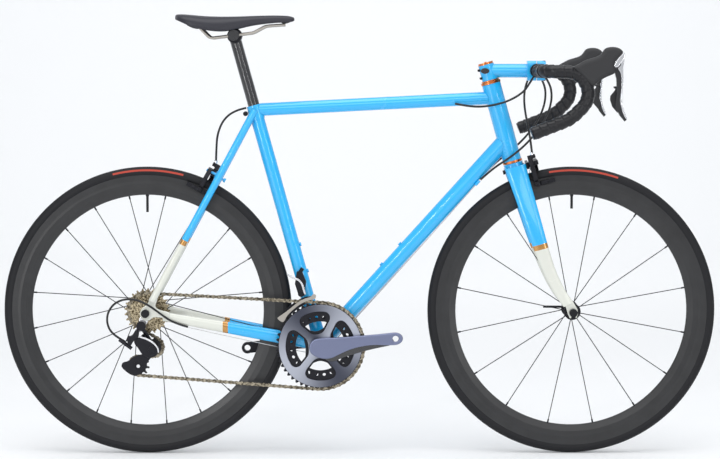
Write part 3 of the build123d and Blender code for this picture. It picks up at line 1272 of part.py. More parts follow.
with BuildPart() as seatpost:
    rod(SEAT_TOP - SEAT_UP * 120, POST_HEAD - SEAT_UP * 8, SEAT_POST_RADIUS - RUNNING)
    washer(POST_HEAD, -17, 17, 15)
    for side in SIDES.values():
        low, high = sorted((side * 17.0, side * 33.0))
        washer(POST_HEAD, low, high, 13)
    rod(SEAT_TOP - SEAT_UP * 121, POST_HEAD - SEAT_UP * 30, SEAT_POST_RADIUS - 2.6, mode=Mode.SUBTRACT)
    add(saddle_rails.part, mode=Mode.SUBTRACT)
seatpost.part.label = "seatpost"
export_step(seatpost.part, "parts/seatpost.step")

# Saddle stations: distance along X, half width, underside and top heights.
SADDLE_STATIONS = [
    (-426, 34, 1004, 1022), (-412, 54, 1000, 1024), (-385, 66, 992, 1022),
    (-345, 62, 986, 1019), (-300, 46, 986, 1019), (-262, 31, 994, 1020),
    (-220, 23, 1000, 1021), (-175, 19, 1001, 1021), (-152, 13, 1003, 1017),
]
COVER_WALL = 7.0


def saddle_section(x, half_width, low, high):
    """Rounded cross-section of the saddle."""
    plane = Plane(origin=(x, 0, (low + high) / 2), x_dir=(0, 1, 0), z_dir=(1, 0, 0))
    with BuildSketch(plane) as profile:
        RectangleRounded(2 * half_width, high - low, (high - low) * 0.4)
    return profile.sketch


with BuildPart() as saddle_cover:
    loft([saddle_section(*station) for station in SADDLE_STATIONS], ruled=True)
    cavity = [(x, width - COVER_WALL, 960, 1003) for x, width, low, high in SADDLE_STATIONS[1:-1]]
    plan = [(x, width) for x, width, low, high in cavity]
    plan += [(x, -width) for x, width, low, high in reversed(cavity)]
    with BuildSketch(Plane.XY.offset(960)) as hollow:
        Polygon(*plan, align=None)
    extrude(hollow.sketch, amount=43, mode=Mode.SUBTRACT)
    add(saddle_rails.part, mode=Mode.SUBTRACT)
saddle_cover.part.label = "saddle_cover"
export_step(saddle_cover.part, "parts/saddle_cover.step")

with BuildPart() as saddle_shell:
    with BuildSketch(Plane.XY.offset(999.6)) as shell_plan:
        Polygon(*plan, align=None)
    extrude(shell_plan.sketch, amount=3.35)
    add(saddle_rails.part, mode=Mode.SUBTRACT)
    add(saddle_cover.part, mode=Mode.SUBTRACT)
saddle_shell.part.label = "saddle_shell"
export_step(saddle_shell.part, "parts/saddle_shell.step")

# -------------------------------------------------------------- fittings

BOTTLE_SPACING = 64.0
BOSS_RADIUS = 4.5
BOTTLE_THREAD_RADIUS = 2.5
DOWN_TUBE_ALONG = (DOWN_TUBE_FRONT - BOTTOM_BRACKET).normalized()
DOWN_TUBE_NORMAL = Vector(-DOWN_TUBE_ALONG.Z, 0, DOWN_TUBE_ALONG.X)
DOWN_BOTTLE = BOTTOM_BRACKET + DOWN_TUBE_ALONG * 265
SEAT_BOTTLE = BOTTOM_BRACKET + SEAT_UP * 205
BRIDGE_RADIUS = 6.0
STOP_ACROSS = 14.5
CABLE_STOP = DOWN_TUBE_FRONT - DOWN_TUBE_ALONG * 121 - DOWN_TUBE_NORMAL * 17.5

with BuildPart() as frame_fittings:
    # Threaded bosses for two bottle cages.
    for middle, along, normal, radius in (
        (DOWN_BOTTLE, DOWN_TUBE_ALONG, DOWN_TUBE_NORMAL, DOWN_TUBE_RADIUS),
        (SEAT_BOTTLE, SEAT_UP, SEAT_BACK * -1, SEAT_TUBE_RADIUS),
    ):
        for shift in (-BOTTLE_SPACING / 2, BOTTLE_SPACING / 2):
            foot = middle + along * shift + normal * (radius + 0.1)
            rod(foot, foot + normal * 3, BOSS_RADIUS)
            rod(foot - normal, foot + normal * 4, BOTTLE_THREAD_RADIUS, mode=Mode.SUBTRACT)
    # Bridge between the seat stays, drilled for the rear brake.
    rod(REAR_BOLT - Vector(0, 60, 0), REAR_BOLT + Vector(0, 60, 0), BRIDGE_RADIUS)
    add(seatstays.part, mode=Mode.SUBTRACT)
    rod(REAR_BOLT - REAR_NORMAL * 30, REAR_BOLT + REAR_NORMAL * 30, 3.05, mode=Mode.SUBTRACT)
    with BuildSketch(Plane.XZ) as keep:
        with Locations((0, 600)):
            Rectangle(1400, 1200)
    extrude(keep.sketch, amount=36, both=True, mode=Mode.INTERSECT)
    # Cable stops on the down tube, and the seat binder bolt.
    for side in SIDES.values():
        stop = CABLE_STOP + Vector(0, side * STOP_ACROSS, 0)
        rod(stop - DOWN_TUBE_ALONG * 6, stop + DOWN_TUBE_ALONG * 8, 3.4)
    binder = SEAT_TOP - SEAT_UP * 14 + SEAT_BACK * (SEAT_TUBE_RADIUS + 7.3)
    washer(binder, -11, 11, 4.2)
    brake_bolt(*CALIPERS["rear"])
frame_fittings.part.label = "frame_fittings"
export_step(frame_fittings.part, "parts/frame_fittings.step")

# ---------------------------------------------------------------- cables

HOUSING_RADIUS = 2.5
WIRE_RADIUS = 0.8


def cord(name, points, radius):
    """Round cord along straight runs joined by the largest arcs they allow."""
    places = [Vector(*point) for point in points]
    bends = []
    for before, corner, after in zip(places, places[1:], places[2:]):
        turn = math.radians((corner - before).get_angle(after - corner))
        shorter = min((corner - before).length, (after - corner).length)
        bends.append(0.45 * shorter / math.tan(turn / 2))
    with BuildLine() as route:
        FilletPolyline(*places, radius=bends)
    path = route.wires()[0]
    swept(path, radius)
    section = math.pi * radius ** 2
    print(name, "length", round(path.length, 1), "volume", round(section * path.length))
    print("bends", [round(bend) for bend in bends])


STOP_END = CABLE_STOP + DOWN_TUBE_ALONG * 8.8
STOP_FOOT = CABLE_STOP - DOWN_TUBE_ALONG * 6.2
FRONT_ROUTES = {
    "rear brake": [
        (399, -66.5, 881), (390, -60, 865), (377, -54, 845), (350, -46, 827), (319, -37, 816),
        (284, -31, 810), (252, -26, 811), (221, -18, 817),
    ],
    "front brake": [
        (399, 66.5, 881), (390, 58, 862), (384, 38, 834), (384, 12, 804),
        (389, -10, 770), (395, -22, 736), (399, -24, 702),
    ],
    "left shift": [
        (421, 66.5, 884), (433, 63, 864), (437, 55, 836), (430, 46, 802), (411, 38, 767), (382, 33, 731),
        (347, 29, 701), (310, 22, 673), (STOP_END.X, STOP_ACROSS, STOP_END.Z),
    ],
    "right shift": [
        (421, -66.5, 884), (435, -64, 866), (442, -57, 836), (436, -47, 800), (416, -40, 762),
        (385, -35, 724), (347, -29, 692), (309, -21, 668), (STOP_END.X, -STOP_ACROSS, STOP_END.Z),
    ],
}
with BuildPart() as front_housings:
    for name, points in FRONT_ROUTES.items():
        cord(name, points, HOUSING_RADIUS)
front_housings.part.label = "front_housings"
export_step(front_housings.part, "parts/front_housings.step")

REAR_ROUTES = {
    "rear brake tail": [
        (-263, 0, 807), (-290, 1, 801), (-317, 7, 779), (-331, 16, 746), (-334, 22, 713), (-335, 24, 682),
    ],
    "derailleur loop": [
        (-397, -60, 303), (-428, -70, 313), (-456, -82, 334), (-482, -88, 355), (-510, -89, 369),
        (-540, -87, 371), (-566, -84, 359), (-581, -80, 335), (-581, -76, 307), (-566, -72, 284), (-541, -69, 270),
    ],
}
WIRE_ROUTES = {
    "rear derailleur wire": [
        (STOP_FOOT.X, -STOP_ACROSS, STOP_FOOT.Z), (-75, -STOP_ACROSS, 238), (-108, -17, 231),
        (-396, -59.6, 301.8),
    ],
    "front derailleur wire": [
        (STOP_FOOT.X, STOP_ACROSS, STOP_FOOT.Z), (-75, STOP_ACROSS, 238),
        (-100, 5, 230), (-123, -8, 246), (-137, -20, 370),
    ],
}
with BuildPart() as rear_cables:
    for name, points in REAR_ROUTES.items():
        cord(name, points, HOUSING_RADIUS)
    for name, points in WIRE_ROUTES.items():
        cord(name, points, WIRE_RADIUS)
rear_cables.part.label = "rear_cables"
export_step(rear_cables.part, "parts/rear_cables.step")
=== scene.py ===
"""Looks of the road bicycle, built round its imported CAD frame. Metres; +X forward, +Y left, +Z up."""
import math

import bpy
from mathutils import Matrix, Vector


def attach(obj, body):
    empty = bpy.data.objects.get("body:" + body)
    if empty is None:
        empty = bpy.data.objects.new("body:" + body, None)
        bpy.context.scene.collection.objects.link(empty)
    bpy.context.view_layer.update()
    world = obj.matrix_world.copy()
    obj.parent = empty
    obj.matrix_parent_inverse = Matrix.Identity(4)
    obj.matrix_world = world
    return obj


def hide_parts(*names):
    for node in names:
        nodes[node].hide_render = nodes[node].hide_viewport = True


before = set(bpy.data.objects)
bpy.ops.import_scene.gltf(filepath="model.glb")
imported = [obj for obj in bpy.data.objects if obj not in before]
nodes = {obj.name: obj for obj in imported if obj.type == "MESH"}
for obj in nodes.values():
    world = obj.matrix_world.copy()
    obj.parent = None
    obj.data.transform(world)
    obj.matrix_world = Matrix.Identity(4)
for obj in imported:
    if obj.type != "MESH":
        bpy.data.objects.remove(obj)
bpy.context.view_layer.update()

# Main places and radii of the CAD model.
REAR_AXLE = Vector((-0.4935, 0, 0.3355))
FRONT_AXLE = Vector((0.4935, 0, 0.3355))
BOTTOM_BRACKET = Vector((-0.091, 0, 0.257))
BAR_CENTRE = Vector((0.409, 0, 0.893))
STEER_UP = Vector((-0.26892, 0, 0.96316))
SEAT_STAY_DIRECTION = Vector((0.4738, 0, 0.8807))
BAR_HALF_WIDTH = 0.210
TYRE_RADIUS = 0.3355
RIM_RADIUS = 0.3165
RIM_INNER_RADIUS = 0.2695

# Finishes, as linear colours.
BLUE = (0.006, 0.408, 0.815)
CREAM = (0.655, 0.664, 0.598)
GOLD = (0.50, 0.25, 0.06)
COPPER = (0.72, 0.22, 0.07)
BLACK = (0.006, 0.006, 0.008)
RUBBER = (0.007, 0.007, 0.009)
HOOD = (0.026, 0.026, 0.028)
CARBON = (0.011, 0.011, 0.012)
GUNMETAL = (0.20, 0.22, 0.33)
SILVER = (0.78, 0.78, 0.80)
TITANIUM = (0.42, 0.39, 0.35)
ANODISED_BLACK = (0.028, 0.028, 0.032)
PLASTIC_BLACK = (0.02, 0.02, 0.022)
CABLE_BLACK = (0.012, 0.012, 0.013)
TAPE_BLACK = (0.008, 0.008, 0.010)
SADDLE_BLACK = (0.024, 0.024, 0.032)
LEVER_SILVER = (0.70, 0.72, 0.76)
WIRE_GREY = (0.5, 0.5, 0.5)
LABEL_RED = (0.42, 0.05, 0.03)
# Chainring face: shaded and lit tones of a painted sheen that runs round the ring.
RING_SHADED = (0.07, 0.075, 0.10)
RING_LIT = (0.46, 0.48, 0.55)
# Cassette and chain: a dark base tone and a bright tone for painted glints.
COG_DARK = (0.07, 0.05, 0.025)
COG_GLINT = (0.66, 0.56, 0.38)
CHAIN_DARK = (0.06, 0.05, 0.035)
CHAIN_GLINT = (0.42, 0.37, 0.28)
PAPER = (0.90, 0.905, 0.91)
SKY = (0.93, 0.96, 1.0, 1.0)

# Radii between which a tyre carries its coloured label.
LABEL_INNER = RIM_RADIUS + 0.0085
LABEL_OUTER = RIM_RADIUS + 0.0128

# ------------------------------------------------------------------ materials


class Shader:
    """A material's node tree, with short calls for the nodes used here."""

    def __init__(self, name):
        self.material = bpy.data.materials.new(name)
        self.material.use_nodes = True
        self.tree = self.material.node_tree
        self.surface = self.tree.nodes["Principled BSDF"]
        coordinates = self.tree.nodes.new("ShaderNodeTexCoord")
        self.place = coordinates.outputs["Object"]

    def link(self, source, target):
        if hasattr(source, "is_output"):
            self.tree.links.new(source, target)
        else:
            target.default_value = source

    def set(self, **values):
        for key, value in values.items():
            socket = self.surface.inputs[key.replace("_", " ")]
            if isinstance(value, tuple) and len(value) == 3:
                value = (*value, 1.0)
            self.link(value, socket)
        return self

    def math(self, operation, first, second=0.0):
        node = self.tree.nodes.new("ShaderNodeMath")
        node.operation = operation
        for socket, value in zip(node.inputs, (first, second)):
            self.link(value, socket)
        return node.outputs[0]

    def along(self, direction):
        node = self.tree.nodes.new("ShaderNodeVectorMath")
        node.operation = "DOT_PRODUCT"
        self.link(self.place, node.inputs[0])
        node.inputs[1].default_value = direction
        return node.outputs["Value"]

    def noise(self, scale, detail=3.0, stretch=(1, 1, 1)):
        mapping = self.tree.nodes.new("ShaderNodeMapping")
        mapping.inputs["Scale"].default_value = stretch
        self.link(self.place, mapping.inputs["Vector"])
        node = self.tree.nodes.new("ShaderNodeTexNoise")
        node.inputs["Scale"].default_value = scale
        node.inputs["Detail"].default_value = detail
        self.link(mapping.outputs[0], node.inputs["Vector"])
        return node.outputs["Fac"]

    def span(self, value, low, high):
        node = self.tree.nodes.new("ShaderNodeMapRange")
        self.link(value, node.inputs["Value"])
        node.inputs["To Min"].default_value = low
        node.inputs["To Max"].default_value = high
        return node.outputs[0]

    def mix(self, share, first, second):
        node = self.tree.nodes.new("ShaderNodeMix")
        node.data_type = "RGBA"
        for socket, value in (
            (node.inputs["Factor"], share),
            (node.inputs["A"], first),
            (node.inputs["B"], second),
        ):
            if isinstance(value, tuple):
                value = (*value, 1.0)
            self.link(value, socket)
        return node.outputs["Result"]

    def between(self, value, low, high):
        above = self.math("GREATER_THAN", value, low)
        below = self.math("LESS_THAN", value, high)
        return self.math("MULTIPLY", above, below)

    def bump(self, height, strength, distance=0.001):
        node = self.tree.nodes.new("ShaderNodeBump")
        node.inputs["Strength"].default_value = strength
        node.inputs["Distance"].default_value = distance
        self.link(height, node.inputs["Height"])
        self.link(node.outputs[0], self.surface.inputs["Normal"])
        return self

    def rounded_edges(self, radius):
        node = self.tree.nodes.new("ShaderNodeBevel")
        node.samples = 6
        node.inputs["Radius"].default_value = radius
        self.link(node.outputs[0], self.surface.inputs["Normal"])
        return self


def gloss_paint(name, colour):
    shader = Shader(name)
    shader.set(Roughness=shader.span(shader.noise(40), 0.22, 0.30), Base_Color=colour)
    shader.set(Coat_Weight=1.0, Coat_Roughness=0.02)
    return shader.rounded_edges(0.0012)


def banded_paint(name, direction, band_low, band_high):
    """Blue paint that turns cream below a gold band, measured along a direction."""
    shader = gloss_paint(name, BLUE)
    height = shader.along(direction)
    below = shader.math("LESS_THAN", height, band_low)
    band = shader.between(height, band_low, band_high)
    cream = shader.mix(below, BLUE, CREAM)
    shader.set(Base_Color=shader.mix(band, cream, GOLD), Metallic=shader.math("MULTIPLY", band, 0.75))
    return shader


def metal(name, colour, roughness):
    shader = Shader(name)
    shader.set(Base_Color=colour, Metallic=1.0)
    shader.set(Roughness=shader.span(shader.noise(600, 2.0), roughness * 0.75, roughness * 1.3))
    return shader.rounded_edges(0.0005)


def plastic(name, colour, roughness, grain=900, relief=0.12):
    shader = Shader(name)
    pattern = shader.noise(grain, 2.0)
    shader.set(Base_Color=colour, Roughness=shader.span(pattern, roughness * 0.85, roughness * 1.15))
    shader.set(Specular_IOR_Level=0.35)
    return shader.bump(pattern, relief, 0.0002)


def carbon_fibre(name, colour, roughness):
    shader = Shader(name)
    cloudy = shader.noise(26, 5.0, (1, 3, 1))
    weave = shader.noise(520, 1.0, (1, 0.15, 1))
    tone = shader.mix(cloudy, tuple(0.6 * c for c in colour), tuple(1.9 * c for c in colour))
    shader.set(Base_Color=tone, Roughness=shader.span(weave, roughness * 0.8, roughness * 1.2))
    shader.set(Coat_Weight=0.25, Coat_Roughness=0.3, Specular_IOR_Level=0.4)
    return shader


def tyre_rubber(name, axle, arc_start, arc_end):
    """Black rubber with a plain red stretch on the upper side walls."""
    shader = Shader(name)
    across = shader.along((1, 0, 0))
    upright = shader.along((0, 0, 1))
    x = shader.math("SUBTRACT", across, axle.x)
    z = shader.math("SUBTRACT", upright, axle.z)
    turn = shader.math("ARCTAN2", z, x)
    squares = shader.math("ADD", shader.math("MULTIPLY", x, x), shader.math("MULTIPLY", z, z))
    radius = shader.math("SQRT", squares)
    arc = shader.between(turn, math.radians(arc_start), math.radians(arc_end))
    wall = shader.between(radius, LABEL_INNER, LABEL_OUTER)
    red = shader.math("MULTIPLY", arc, wall)
    grain = shader.noise(700, 2.0)
    shader.set(Base_Color=shader.mix(red, RUBBER, LABEL_RED))
    shader.set(Roughness=shader.span(grain, 0.50, 0.66), Specular_IOR_Level=0.3)
    return shader.bump(grain, 0.1, 0.0002)


def sparkling(name, dark, bright, scale):
    """Plated steel with painted glints: noise speckles of a bright tone in its colour stand in for the light
    its many small faces catch.
    """
    shader = Shader(name)
    glint = shader.span(shader.noise(scale, 1.0, (1, 0.4, 1)), -1.0, 2.0)
    clipped = shader.math("MINIMUM", shader.math("MAXIMUM", glint, 0.0), 1.0)
    shader.set(Base_Color=shader.mix(clipped, dark, bright), Metallic=1.0)
    shader.set(Roughness=shader.span(shader.noise(500, 2.0), 0.2, 0.34))
    return shader.rounded_edges(0.0003)


def sheen_ring_metal(name, centre):
    """Anodised grey with a painted sheen: its colour runs from a shaded to a lit tone round the chainring, as
    painted highlight and shade.
    """
    shader = Shader(name)
    x = shader.math("SUBTRACT", shader.along((1, 0, 0)), centre.x)
    z = shader.math("SUBTRACT", shader.along((0, 0, 1)), centre.z)
    turn = shader.math("ARCTAN2", z, x)
    wave = shader.math("SINE", shader.math("ADD", shader.math("MULTIPLY", turn, 2.0), 0.5))
    drift = shader.math("ADD", shader.math("MULTIPLY", wave, 0.5), 0.5)
    shader.set(Base_Color=shader.mix(drift, RING_SHADED, RING_LIT), Metallic=1.0)
    shader.set(Roughness=shader.span(shader.noise(500, 2.0), 0.28, 0.40))
    return shader.rounded_edges(0.0008)


def lever_metal(name):
    """Black metal with a polished front face."""
    shader = Shader(name)
    facing = shader.tree.nodes.new("ShaderNodeSeparateXYZ")
    shader.link(shader.tree.nodes["Texture Coordinate"].outputs["Normal"], facing.inputs[0])
    polished = shader.math("GREATER_THAN", facing.outputs["X"], 0.45)
    shader.set(Base_Color=shader.mix(polished, PLASTIC_BLACK, LEVER_SILVER), Metallic=polished)
    return shader.set(Roughness=shader.span(shader.noise(800), 0.18, 0.3))


blue_paint = gloss_paint("blue_paint", BLUE)
chainstay_paint = banded_paint("chainstay_paint", (1, 0, 0), -0.317, -0.305)
seatstay_paint = banded_paint("seatstay_paint", SEAT_STAY_DIRECTION, 0.240, 0.252)
fork_paint = banded_paint("fork_paint", STEER_UP, 0.3505, 0.3625)
cream_paint = gloss_paint("cream_paint", CREAM)
copper = metal("copper", COPPER, 0.20)
black_gloss = gloss_paint("black_gloss", BLACK)
black_metal = metal("black_metal", ANODISED_BLACK, 0.34)
black_plastic = plastic("black_plastic", PLASTIC_BLACK, 0.42)
grey_metal = metal("grey_metal", GUNMETAL, 0.32)
ring_sheen_grey = sheen_ring_metal("ring_sheen_grey", BOTTOM_BRACKET)
silver = metal("silver", SILVER, 0.16)
steel = sparkling("steel", COG_DARK, COG_GLINT, 260)
chain_metal = sparkling("chain_metal", CHAIN_DARK, CHAIN_GLINT, 190)
titanium = metal("titanium", TITANIUM, 0.34)
carbon = carbon_fibre("carbon", CARBON, 0.34)
hood_rubber = plastic("hood_rubber", HOOD, 0.62, 1400, 0.25)
tube_rubber = plastic("tube_rubber", BLACK, 0.6)
cable_skin = plastic("cable_skin", CABLE_BLACK, 0.30, 400, 0.05)
wire_metal = metal("wire_metal", WIRE_GREY, 0.3)
lever_blade_metal = lever_metal("lever_blade")
tape_skin = plastic("tape_skin", TAPE_BLACK, 0.30, 1600, 0.30)
saddle_skin = plastic("saddle_skin", SADDLE_BLACK, 0.40, 1500, 0.12)
front_tyre_rubber = tyre_rubber("front_tyre_rubber", FRONT_AXLE, 71.0, 99.5)
rear_tyre_rubber = tyre_rubber("rear_tyre_rubber", REAR_AXLE, 75.0, 104.0)

NODE_SHADERS = {
    "head_tube": blue_paint,
    "top_tube": blue_paint,
    "down_tube": blue_paint,
    "seat_tube": blue_paint,
    "bottom_bracket_shell": blue_paint,
    "frame_fittings": blue_paint,
    "fork_crown": blue_paint,
    "stem": blue_paint,
    "stem_faceplate": blue_paint,
    "chainstays": chainstay_paint,
    "seatstays": seatstay_paint,
    "fork_blades": fork_paint,
    "dropouts": cream_paint,
    "headset_rings": copper,
    "bearing_cups": copper,
    "cockpit_bolts": black_metal,
    "seatpost": black_gloss,
    "saddle_shell": black_plastic,
    "saddle_cover": saddle_skin,
    "saddle_rails": titanium,
    "handlebar": black_metal,
    "bar_tape": tape_skin,
    "brake_hoods": hood_rubber,
    "lever_brackets": black_plastic,
    "brake_lever_left": black_metal,
    "brake_lever_right": black_metal,
    "shift_paddle_left": black_plastic,
    "shift_paddle_right": black_plastic,
    "front_housings": cable_skin,
    "rear_cables": cable_skin,
    "front_brake_y_arm": black_metal,
    "front_brake_c_arm": black_metal,
    "rear_brake_y_arm": black_metal,
    "rear_brake_c_arm": black_metal,
    "crank_arm_right": grey_metal,
    "crank_arm_left": black_metal,
    "outer_chainring": ring_sheen_grey,
    "inner_chainring": black_metal,
    "cassette": steel,
    "chain": chain_metal,
    "front_derailleur": black_metal,
    "fd_cage": silver,
    "rear_derailleur": black_metal,
    "rd_cage": black_metal,
    "guide_pulley": black_plastic,
    "tension_pulley": black_plastic,
    "front_hub": black_metal,
    "rear_hub": black_metal,
    "front_skewer": black_metal,
    "rear_skewer": black_metal,
    "front_qr_lever": black_metal,
    "rear_qr_lever": black_metal,
    "front_spokes": black_metal,
    "rear_spokes": black_metal,
    "front_rim": carbon,
    "rear_rim": carbon,
    "front_tyre": front_tyre_rubber,
    "rear_tyre": rear_tyre_rubber,
    "front_inner_tube": tube_rubber,
    "rear_inner_tube": tube_rubber,
}


def dress(piece, shader):
    piece.data.materials.clear()
    piece.data.materials.append(shader.material)
    return piece


for node_name, node in nodes.items():
    dress(node, NODE_SHADERS[node_name])
    if hasattr(node.data, "shade_smooth"):
        node.data.set_sharp_from_angle(angle=math.radians(32))

# -------------------------------------------------------------------- shapes


def mesh_object(name, points, faces):
    mesh = bpy.data.meshes.new(name)
    mesh.from_pydata([tuple(p) for p in points], [], faces)
    mesh.update()
    piece = bpy.data.objects.new(name, mesh)
    bpy.context.scene.collection.objects.link(piece)
    mesh.shade_smooth()
    return piece


def ring_faces(rings, around, close_rings=False):
    """Quads between rings of points. A run of rings that stays open is capped at both ends."""
    faces = []
    for i in range(rings if close_rings else rings - 1):
        following = (i + 1) % rings
        near, far = i * around, following * around
        for j in range(around):
            beside = (j + 1) % around
            faces.append((near + j, near + beside, far + beside, far + j))
    if not close_rings:
        faces.append(tuple(reversed(range(around))))
        faces.append(tuple((rings - 1) * around + j for j in range(around)))
    return faces


def stands_for(piece, body, shader, *node_names):
    """Dresses a piece, rides it on a body and hides the CAD nodes that it replaces."""
    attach(dress(piece, shader), body)
    if node_names:
        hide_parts(*node_names)
    return piece


def resample(fine, step):
    """Even points, about a step apart, along a path."""
    lengths = [0.0]
    for first, second in zip(fine, fine[1:]):
        lengths.append(lengths[-1] + (second - first).length)
    count = max(2, round(lengths[-1] / step))
    even, k = [], 0
    for i in range(count + 1):
        target = lengths[-1] * i / count
        while k < len(fine) - 2 and lengths[k + 1] < target:
            k += 1
        share = (target - lengths[k]) / max(lengths[k + 1] - lengths[k], 1e-9)
        even.append(fine[k].lerp(fine[k + 1], share))
    return even


def filleted(corners, radii, steps=14):
    """A path through corners with round bends of the given radii."""
    corners = [Vector(c) for c in corners]
    path = [corners[0]]
    for before, corner, after, radius in zip(corners, corners[1:], corners[2:], radii):
        back = (before - corner).normalized()
        on = (after - corner).normalized()
        half = back.angle(on) / 2
        reach = radius / math.tan(half)
        middle = corner + (back + on).normalized() * (radius / math.sin(half))
        start, end = corner + back * reach - middle, corner + on * reach - middle
        for k in range(steps + 1):
            share = k / steps
            path.append(middle + start.lerp(end, share).normalized() * radius)
    path.append(corners[-1])
    return path


# ---------------------------------------------------------------- bar tape

TAPE_START = 0.070
TAPE_RADIUS = 0.0153
TAPE_STEP = 0.0185
TAPE_UNDERSIDE = TAPE_RADIUS - 0.0012
TAPE_LIFT = 0.0016
TAPE_EDGE = 0.14
TAPE_CREASE = 0.00025
TAPE_GRID = 0.0009
BAR_SHAPE = [(0, 0), (0.163, -0.005), (0.061, -0.107), (-0.022, -0.139)]
BAR_RADII = [0.038, 0.047, 0.090]


def bar_tape(side, name):
    """Overlapping turns: each turn rises from under the next and steps down at its edge."""
    corners = [BAR_CENTRE + Vector((0, side * TAPE_START, 0))]
    corners += [BAR_CENTRE + Vector((x, side * BAR_HALF_WIDTH, z)) for x, z in BAR_SHAPE]
    path = resample(filleted(corners, BAR_RADII), TAPE_GRID)
    around = 56
    points = []
    frame_side = Vector((0, 0, 1))
    for i, point in enumerate(path):
        run = (path[min(i + 1, len(path) - 1)] - path[max(i - 1, 0)]).normalized()
        frame_side = (frame_side - run * frame_side.dot(run)).normalized()
        other = run.cross(frame_side)
        travelled = i * TAPE_GRID
        for j in range(around):
            turn = 2 * math.pi * j / around
            phase = (travelled / TAPE_STEP + side * j / around) % 1.0
            lift = TAPE_LIFT * min(phase / (1 - TAPE_EDGE), (1 - phase) / TAPE_EDGE) ** 0.8
            crease = TAPE_CREASE * math.sin(turn * 5 + travelled * 220)
            crease *= math.sin(travelled * 510 + turn * 2)
            radius = TAPE_UNDERSIDE + lift + crease
            points.append(point + (frame_side * math.cos(turn) + other * math.sin(turn)) * radius)
    return mesh_object(name, points, ring_faces(len(path), around))


stands_for(bar_tape(-1, "bar_tape_right"), "fork", tape_skin, "bar_tape")
stands_for(bar_tape(1, "bar_tape_left"), "fork", tape_skin, "bar_tape")

# ------------------------------------------------------------------- saddle

# Length, half width, skirt height, top height and dip of the middle, tail first.
SADDLE_STATIONS = [
    (-0.4255, 0.018, 1.0110, 1.0215, 0.000),
    (-0.4210, 0.042, 1.0090, 1.0235, 0.001),
    (-0.4110, 0.057, 1.0050, 1.0250, 0.003),
    (-0.3920, 0.066, 0.9960, 1.0245, 0.004),
    (-0.3700, 0.068, 0.9885, 1.0225, 0.004),
    (-0.3450, 0.064, 0.9840, 1.0205, 0.003),
    (-0.3150, 0.055, 0.9825, 1.0200, 0.003),
    (-0.2850, 0.042, 0.9880, 1.0202, 0.003),
    (-0.2550, 0.032, 0.9960, 1.0210, 0.003),
    (-0.2200, 0.025, 1.0010, 1.0218, 0.002),
    (-0.1850, 0.021, 1.0040, 1.0215, 0.001),
    (-0.1620, 0.018, 1.0045, 1.0195, 0.000),
    (-0.1530, 0.012, 1.0065, 1.0165, 0.000),
    (-0.1505, 0.005, 1.0090, 1.0140, 0.000),
]
SKIN_THICKNESS = 0.0048


def saddle_cover():
    """A thin padded skin: crowned top, rolled edges and a curved skirt, open underneath."""
    across = 20
    points = []
    for x, half, skirt, top, dip in SADDLE_STATIONS:
        for layer in (1.0, 0.0):
            for j in range(across + 1):
                swing = math.pi * j / across
                side = -math.cos(swing)
                arch = math.sin(swing) ** 0.62
                inset = SKIN_THICKNESS * (1 - layer)
                groove = dip * math.exp(-((side / 0.35) ** 2)) * layer
                y = (half - inset) * math.copysign(abs(side) ** 0.75, side)
                z = skirt + (top - skirt - inset) * arch - groove
                points.append((x, y, z))
    row = 2 * (across + 1)
    faces = []
    for i in range(len(SADDLE_STATIONS) - 1):
        for j in range(across):
            a, b = i * row + j, (i + 1) * row + j
            faces.append((a, b, b + 1, a + 1))
            c, d = a + across + 1, b + across + 1
            faces.append((c, c + 1, d + 1, d))
        for j in (0, across):
            a, b = i * row + j, (i + 1) * row + j
            c, d = a + across + 1, b + across + 1
            faces.append((a, c, d, b) if j == 0 else (a, b, d, c))
    for i, flip in ((0, False), (len(SADDLE_STATIONS) - 1, True)):
        for j in range(across):
            a = i * row + j
            c = a + across + 1
            quad = (a, a + 1, c + 1, c)
            faces.append(tuple(reversed(quad)) if flip else quad)
    piece = mesh_object("saddle_skin", points, faces)
    rounding = piece.modifiers.new("rounding", "SUBSURF")
    rounding.levels = 2
    rounding.render_levels = 2
    return piece


saddle = stands_for(saddle_cover(), "seat", saddle_skin, "saddle_cover")

# ------------------------------------------------------------------- cables

HOUSING_RADIUS = 0.0025
WIRE_RADIUS = 0.0008


def cable(name, points, radius):
    """A smooth tube whose route is a curve with these points as its control points."""
    curve = bpy.data.curves.new(name, "CURVE")
    curve.dimensions = "3D"
    curve.bevel_depth = radius
    curve.bevel_resolution = 5
    curve.resolution_u = 12
    curve.use_fill_caps = True
    spline = curve.splines.new("NURBS")
    spline.points.add(len(points) - 1)
    for target, point in zip(spline.points, points):
        target.co = (*point, 1.0)
    spline.order_u = 3
    spline.use_endpoint_u = True
    piece = bpy.data.objects.new(name, curve)
    bpy.context.scene.collection.objects.link(piece)
    return piece


